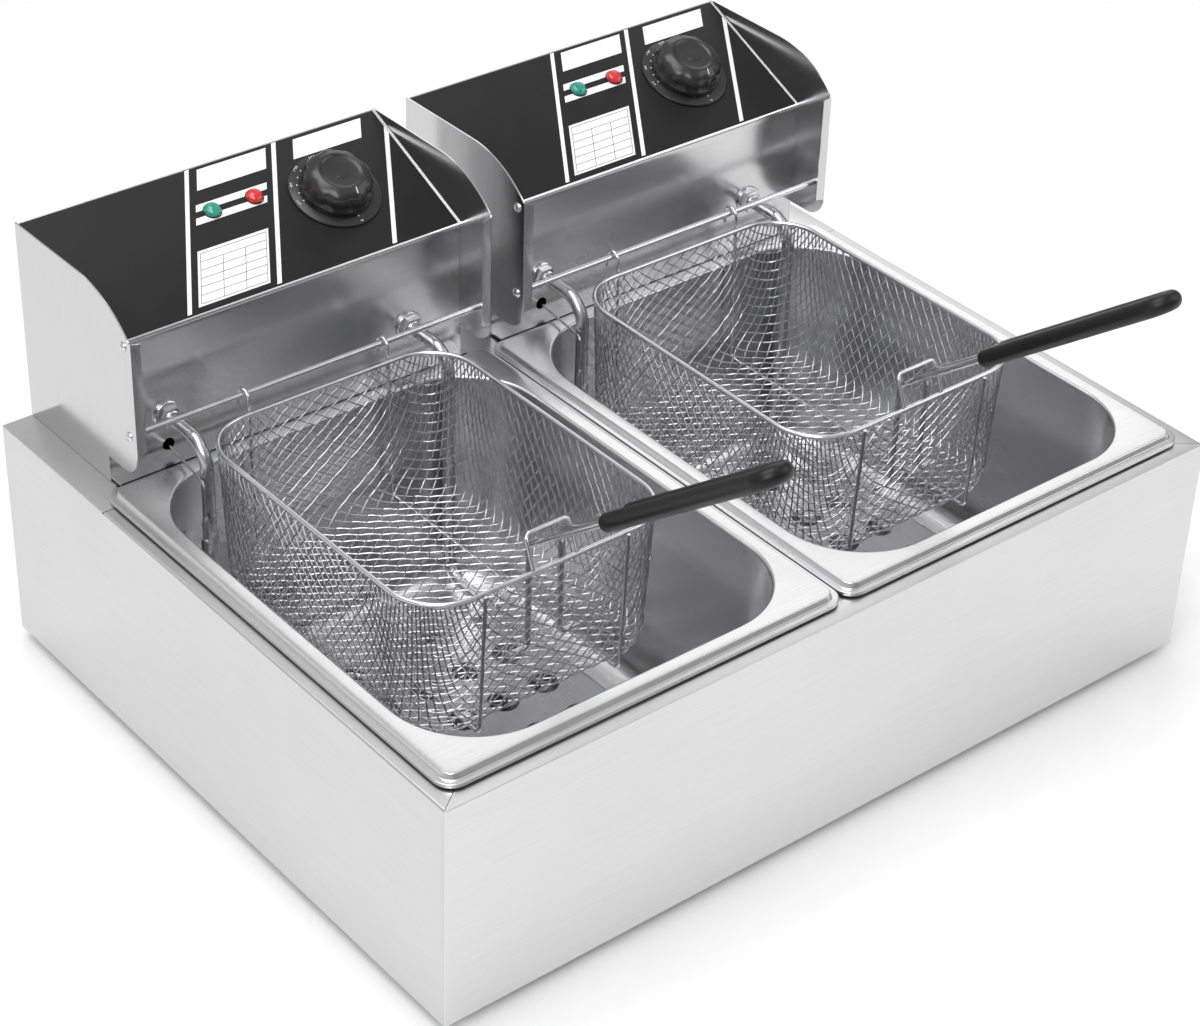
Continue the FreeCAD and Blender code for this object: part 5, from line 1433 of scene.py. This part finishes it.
@dataclass
class Basket(Unit):
    """One hanging basket, in millimetres from its unit's middle and the deck."""

    body: ClassVar[str] = "basket"
    sharp: ClassVar[float] = 60.0
    half_x: float = 86.0
    front: float = -121.5
    back: float = 96.5
    corner: float = 32.0
    rim: float = 34.5
    rim_radius: float = 1.5
    depth: float = 90.0
    lean: float = 4.0
    mesh: float = 1.6
    mesh_drop: float = 1.2
    weld: float = 0.15
    frame_radius: float = 1.1
    frame_gap: float = 1.0
    frame_spread: float = 48.5
    frame_bend: float = 4.15
    hook_gap: float = 2.3
    hook_tail: float = 7.0
    bracket_half: float = 15.0
    bracket_rise: float = 20.0
    bracket_lean: float = 8.0
    bracket_bend: float = 4.0
    bracket_radius: float = 1.25
    rail_y: float = 104.5
    rail_height: float = 43.5
    handle_radius: float = 1.9
    handle_spread: float = 11.0
    handle_slope: float = 37.8
    handle_length: float = 217.0
    grip_start: float = 72.0
    grip_radius: float = 5.3
    grip_spread: float = 7.8

    def build(self) -> None:
        """Builds the woven mesh and the wires round it."""
        middle = (self.front + self.back) / 2
        weave = Weave(self.half_x, (self.back - self.front) / 2, self.corner, self.lean,
                      self.rim - self.mesh_drop, self.rim - self.depth - self.mesh, middle)
        self.lay("woven_mesh", weave.build(), MESH_WIRE, "basket_mesh")
        loop = [(-self.half_x, self.front, self.rim), (self.half_x, self.front, self.rim),
                (self.half_x, self.back, self.rim), (-self.half_x, self.back, self.rim)]
        rim = drawn_wire([bent(loop, self.corner, True, 18)], self.rim_radius, True, 5)
        self.lay("rim_wire", rim, BRIGHT_WIRE, "basket_rim")
        wires = [self.frame_line(sign * self.frame_spread) for sign in (-1, 1)]
        self.lay("frame_wires", drawn_wire(wires, self.frame_radius), BRIGHT_WIRE, "basket_frame")
        self.bracket()
        self.handle()

    def frame_line(self, across: float) -> list[Vector]:
        """Gives the line of a frame wire: hook, back wall, floor, front wall."""
        outside = self.rim_radius + self.weld + self.frame_radius
        back, front = self.back + outside, self.front - outside
        hook = self.rail_y - back
        crown = self.rail_height + self.hook_gap + self.frame_radius
        floor = self.rim - self.depth - self.mesh - self.frame_gap - self.frame_radius
        inset = self.lean - self.mesh / 2 - self.frame_gap - self.frame_radius
        tail = crown - hook - self.hook_tail
        spots = [(across, self.rail_y + hook, tail), (across, self.rail_y + hook, crown),
                 (across, back, crown), (across, back, self.rim), (across, self.back - inset, floor),
                 (across, self.front + inset, floor), (across, front, self.rim)]
        return bent(spots, [hook] * 2 + [self.frame_bend] * 3)

    def bracket(self) -> None:
        """Bends the staple that the handle leans on."""
        foot, top = self.rim + self.rim_radius + self.weld, self.rim + self.bracket_rise
        x, lean = self.bracket_half, self.front + self.bracket_lean
        spots = [(-x, self.front, foot), (-x, lean, top), (x, lean, top), (x, self.front, foot)]
        wire = drawn_wire([bent(spots, self.bracket_bend)], self.bracket_radius, facets=4)
        self.lay("bracket_wire", wire, BRIGHT_WIRE, "handle_bracket")

    def handle(self) -> None:
        """Bends the handle wire, drawn together towards its tip, and dips its grip."""
        spread, near, y, z = self.handle_spread, self.grip_spread, self.front + 8.5, self.rim + 11.5
        rise = math.radians(self.handle_slope)
        along = Vector((0, -math.cos(rise), math.sin(rise)))
        knees = [Vector((sign * spread, y, z)) for sign in (-1, 1)]
        starts = [Vector((sign * near, y, z)) + along * self.grip_start for sign in (-1, 1)]
        tips = [Vector((sign * near, y, z)) + along * self.handle_length for sign in (-1, 1)]
        low, peg, tip_bend = self.rim - 56.0, spread + 13.0, near - 0.01
        corners = [(-peg, y, low), (-spread, y, low), knees[0], starts[0], tips[0], tips[1], starts[1],
                   knees[1], (spread, y, low), (peg, y, low)]
        bends = [3.5, 7.0, 60.0, tip_bend]
        wire = bent(corners, bends + bends[::-1])
        self.lay("handle_rod", drawn_wire([wire], self.handle_radius, facets=4), BRIGHT_WIRE, "handle_wire")
        ends = [(0.0, 0.45), (0.6, 0.72), (1.6, 0.9), (3.2, 1.0)]
        line = [starts[0] + along * run for run, swell in ends]
        line += bent([starts[0] + along * 12, tips[0], tips[1], starts[1] + along * 12], tip_bend, steps=14)
        line += [starts[1] + along * run for run, swell in ends[::-1]]
        swells = [swell for run, swell in ends]
        swells = swells + [1.0] * (len(line) - 2 * len(ends)) + swells[::-1]
        grip = drawn_wire([line], self.grip_radius, facets=8, swell=swells)
        self.lay("dipped_grip", grip, GRIP_BLACK, "handle_grip")


@dataclass
class Studio:
    """The floor, the soft light and the camera."""

    focal_pixels: float = 2930.0
    image_width: float = 1200.0
    sensor: float = 36.0
    azimuth: float = -40.205
    elevation: float = 34.415
    roll: float = 2.174
    eye: tuple[float, float, float] = (-939.034, -1106.855, 1092.449)
    aim: tuple[float, float, float] = (0.0, 0.0, 0.1)

    def build(self) -> None:
        """Sets the floor, the lights and the camera."""
        self.floor()
        self.lights()
        self.camera()

    def floor(self) -> None:
        """Lays a pale plain floor."""
        draft = bmesh.new()
        bmesh.ops.create_grid(draft, x_segments=1, y_segments=1, size=6.0)
        mesh = bpy.data.meshes.new("studio_floor")
        draft.to_mesh(mesh)
        draft.free()
        paper = Moulded("studio_paper", "", (0.86, 0.86, 0.86), (0.88, 0.88, 0.88), 0.7, 0.8, 300.0, 0.02)
        mesh.materials.append(paper.material())
        sheet = bpy.data.objects.new("studio_floor", mesh)
        bpy.context.scene.collection.objects.link(sheet)

    def lights(self) -> None:
        """Hangs soft boxes under a pale sky."""
        world = bpy.data.worlds.new("studio_sky")
        bpy.context.scene.world = world
        world.use_nodes = True
        world.node_tree.nodes.clear()
        tree = Tree(world.node_tree)
        place = tree.add("ShaderNodeTexCoord").outputs["Generated"]
        height = tree.add("ShaderNodeSeparateXYZ", Vector=place).outputs["Z"]
        facing = tree.add("ShaderNodeVectorMath", {"operation": "DOT_PRODUCT"})
        tree.feed(facing.inputs[0], place)
        tree.feed(facing.inputs[1], (-0.77, 0.63, 0.0))
        share = tree.add("ShaderNodeMapRange", Value=facing.outputs["Value"], From_Min=-0.8, From_Max=0.8)
        horizon = tree.mix(share.outputs["Result"], (0.10, 0.10, 0.102, 1.0), (0.75, 0.75, 0.755, 1.0))
        sky = tree.mix(height, horizon, (0.92, 0.92, 0.92, 1.0))
        glow = tree.add("ShaderNodeBackground", Color=sky, Strength=0.75)
        out = tree.add("ShaderNodeOutputWorld")
        tree.feed(out.inputs["Surface"], glow.outputs[0])
        for name, place, size, power in (("key_box", (-1.6, -1.4, 2.2), 1.6, 34.0),
                                         ("fill_box", (1.9, -1.2, 1.5), 1.8, 14.0),
                                         ("top_box", (-0.4, 0.3, 2.4), 1.6, 26.0),
                                         ("back_box", (1.9, 1.9, 1.75), 1.7, 9.0)):
            light = bpy.data.lights.new(name, "AREA")
            light.shape = "SQUARE"
            light.size = size
            light.energy = power
            lamp = bpy.data.objects.new(name, light)
            lamp.location = place
            lamp.rotation_mode = "QUATERNION"
            lamp.rotation_quaternion = (Vector(self.aim) - Vector(place)).to_track_quat("-Z", "Y")
            bpy.context.scene.collection.objects.link(lamp)
        bpy.context.scene.view_settings.view_transform = "Standard"

    def camera(self) -> None:
        """Stands the camera where the photograph was taken from."""
        around, up, roll = (math.radians(angle) for angle in (self.azimuth, self.elevation, self.roll))
        back = Vector((math.sin(around) * math.cos(up), -math.cos(around) * math.cos(up), math.sin(up)))
        right = Vector((math.cos(around), math.sin(around), 0.0))
        top = back.cross(right)
        across = right * math.cos(roll) + top * math.sin(roll)
        upward = top * math.cos(roll) - right * math.sin(roll)
        data = bpy.data.cameras.new("photo_camera")
        data.sensor_width = self.sensor
        data.lens = self.focal_pixels / self.image_width * self.sensor
        eye = bpy.data.objects.new("photo_camera", data)
        turn = Matrix((across, upward, back)).transposed().to_4x4()
        eye.matrix_world = Matrix.Translation(Vector(self.eye) * MM) @ turn
        bpy.context.scene.collection.objects.link(eye)
        bpy.context.scene.camera = eye


def main() -> None:
    """Builds the studio, the casing and the two units."""
    logging.basicConfig(level=logging.INFO, format="%(name)s: %(message)s")
    Studio().build()
    Casing(read_seat(None)).build()
    for side in Side:
        seat = read_seat(side)
        Pan(seat, side).build()
        Head(seat, side).build()
        Basket(seat, side).build()


if __name__ == "__main__":
    main()
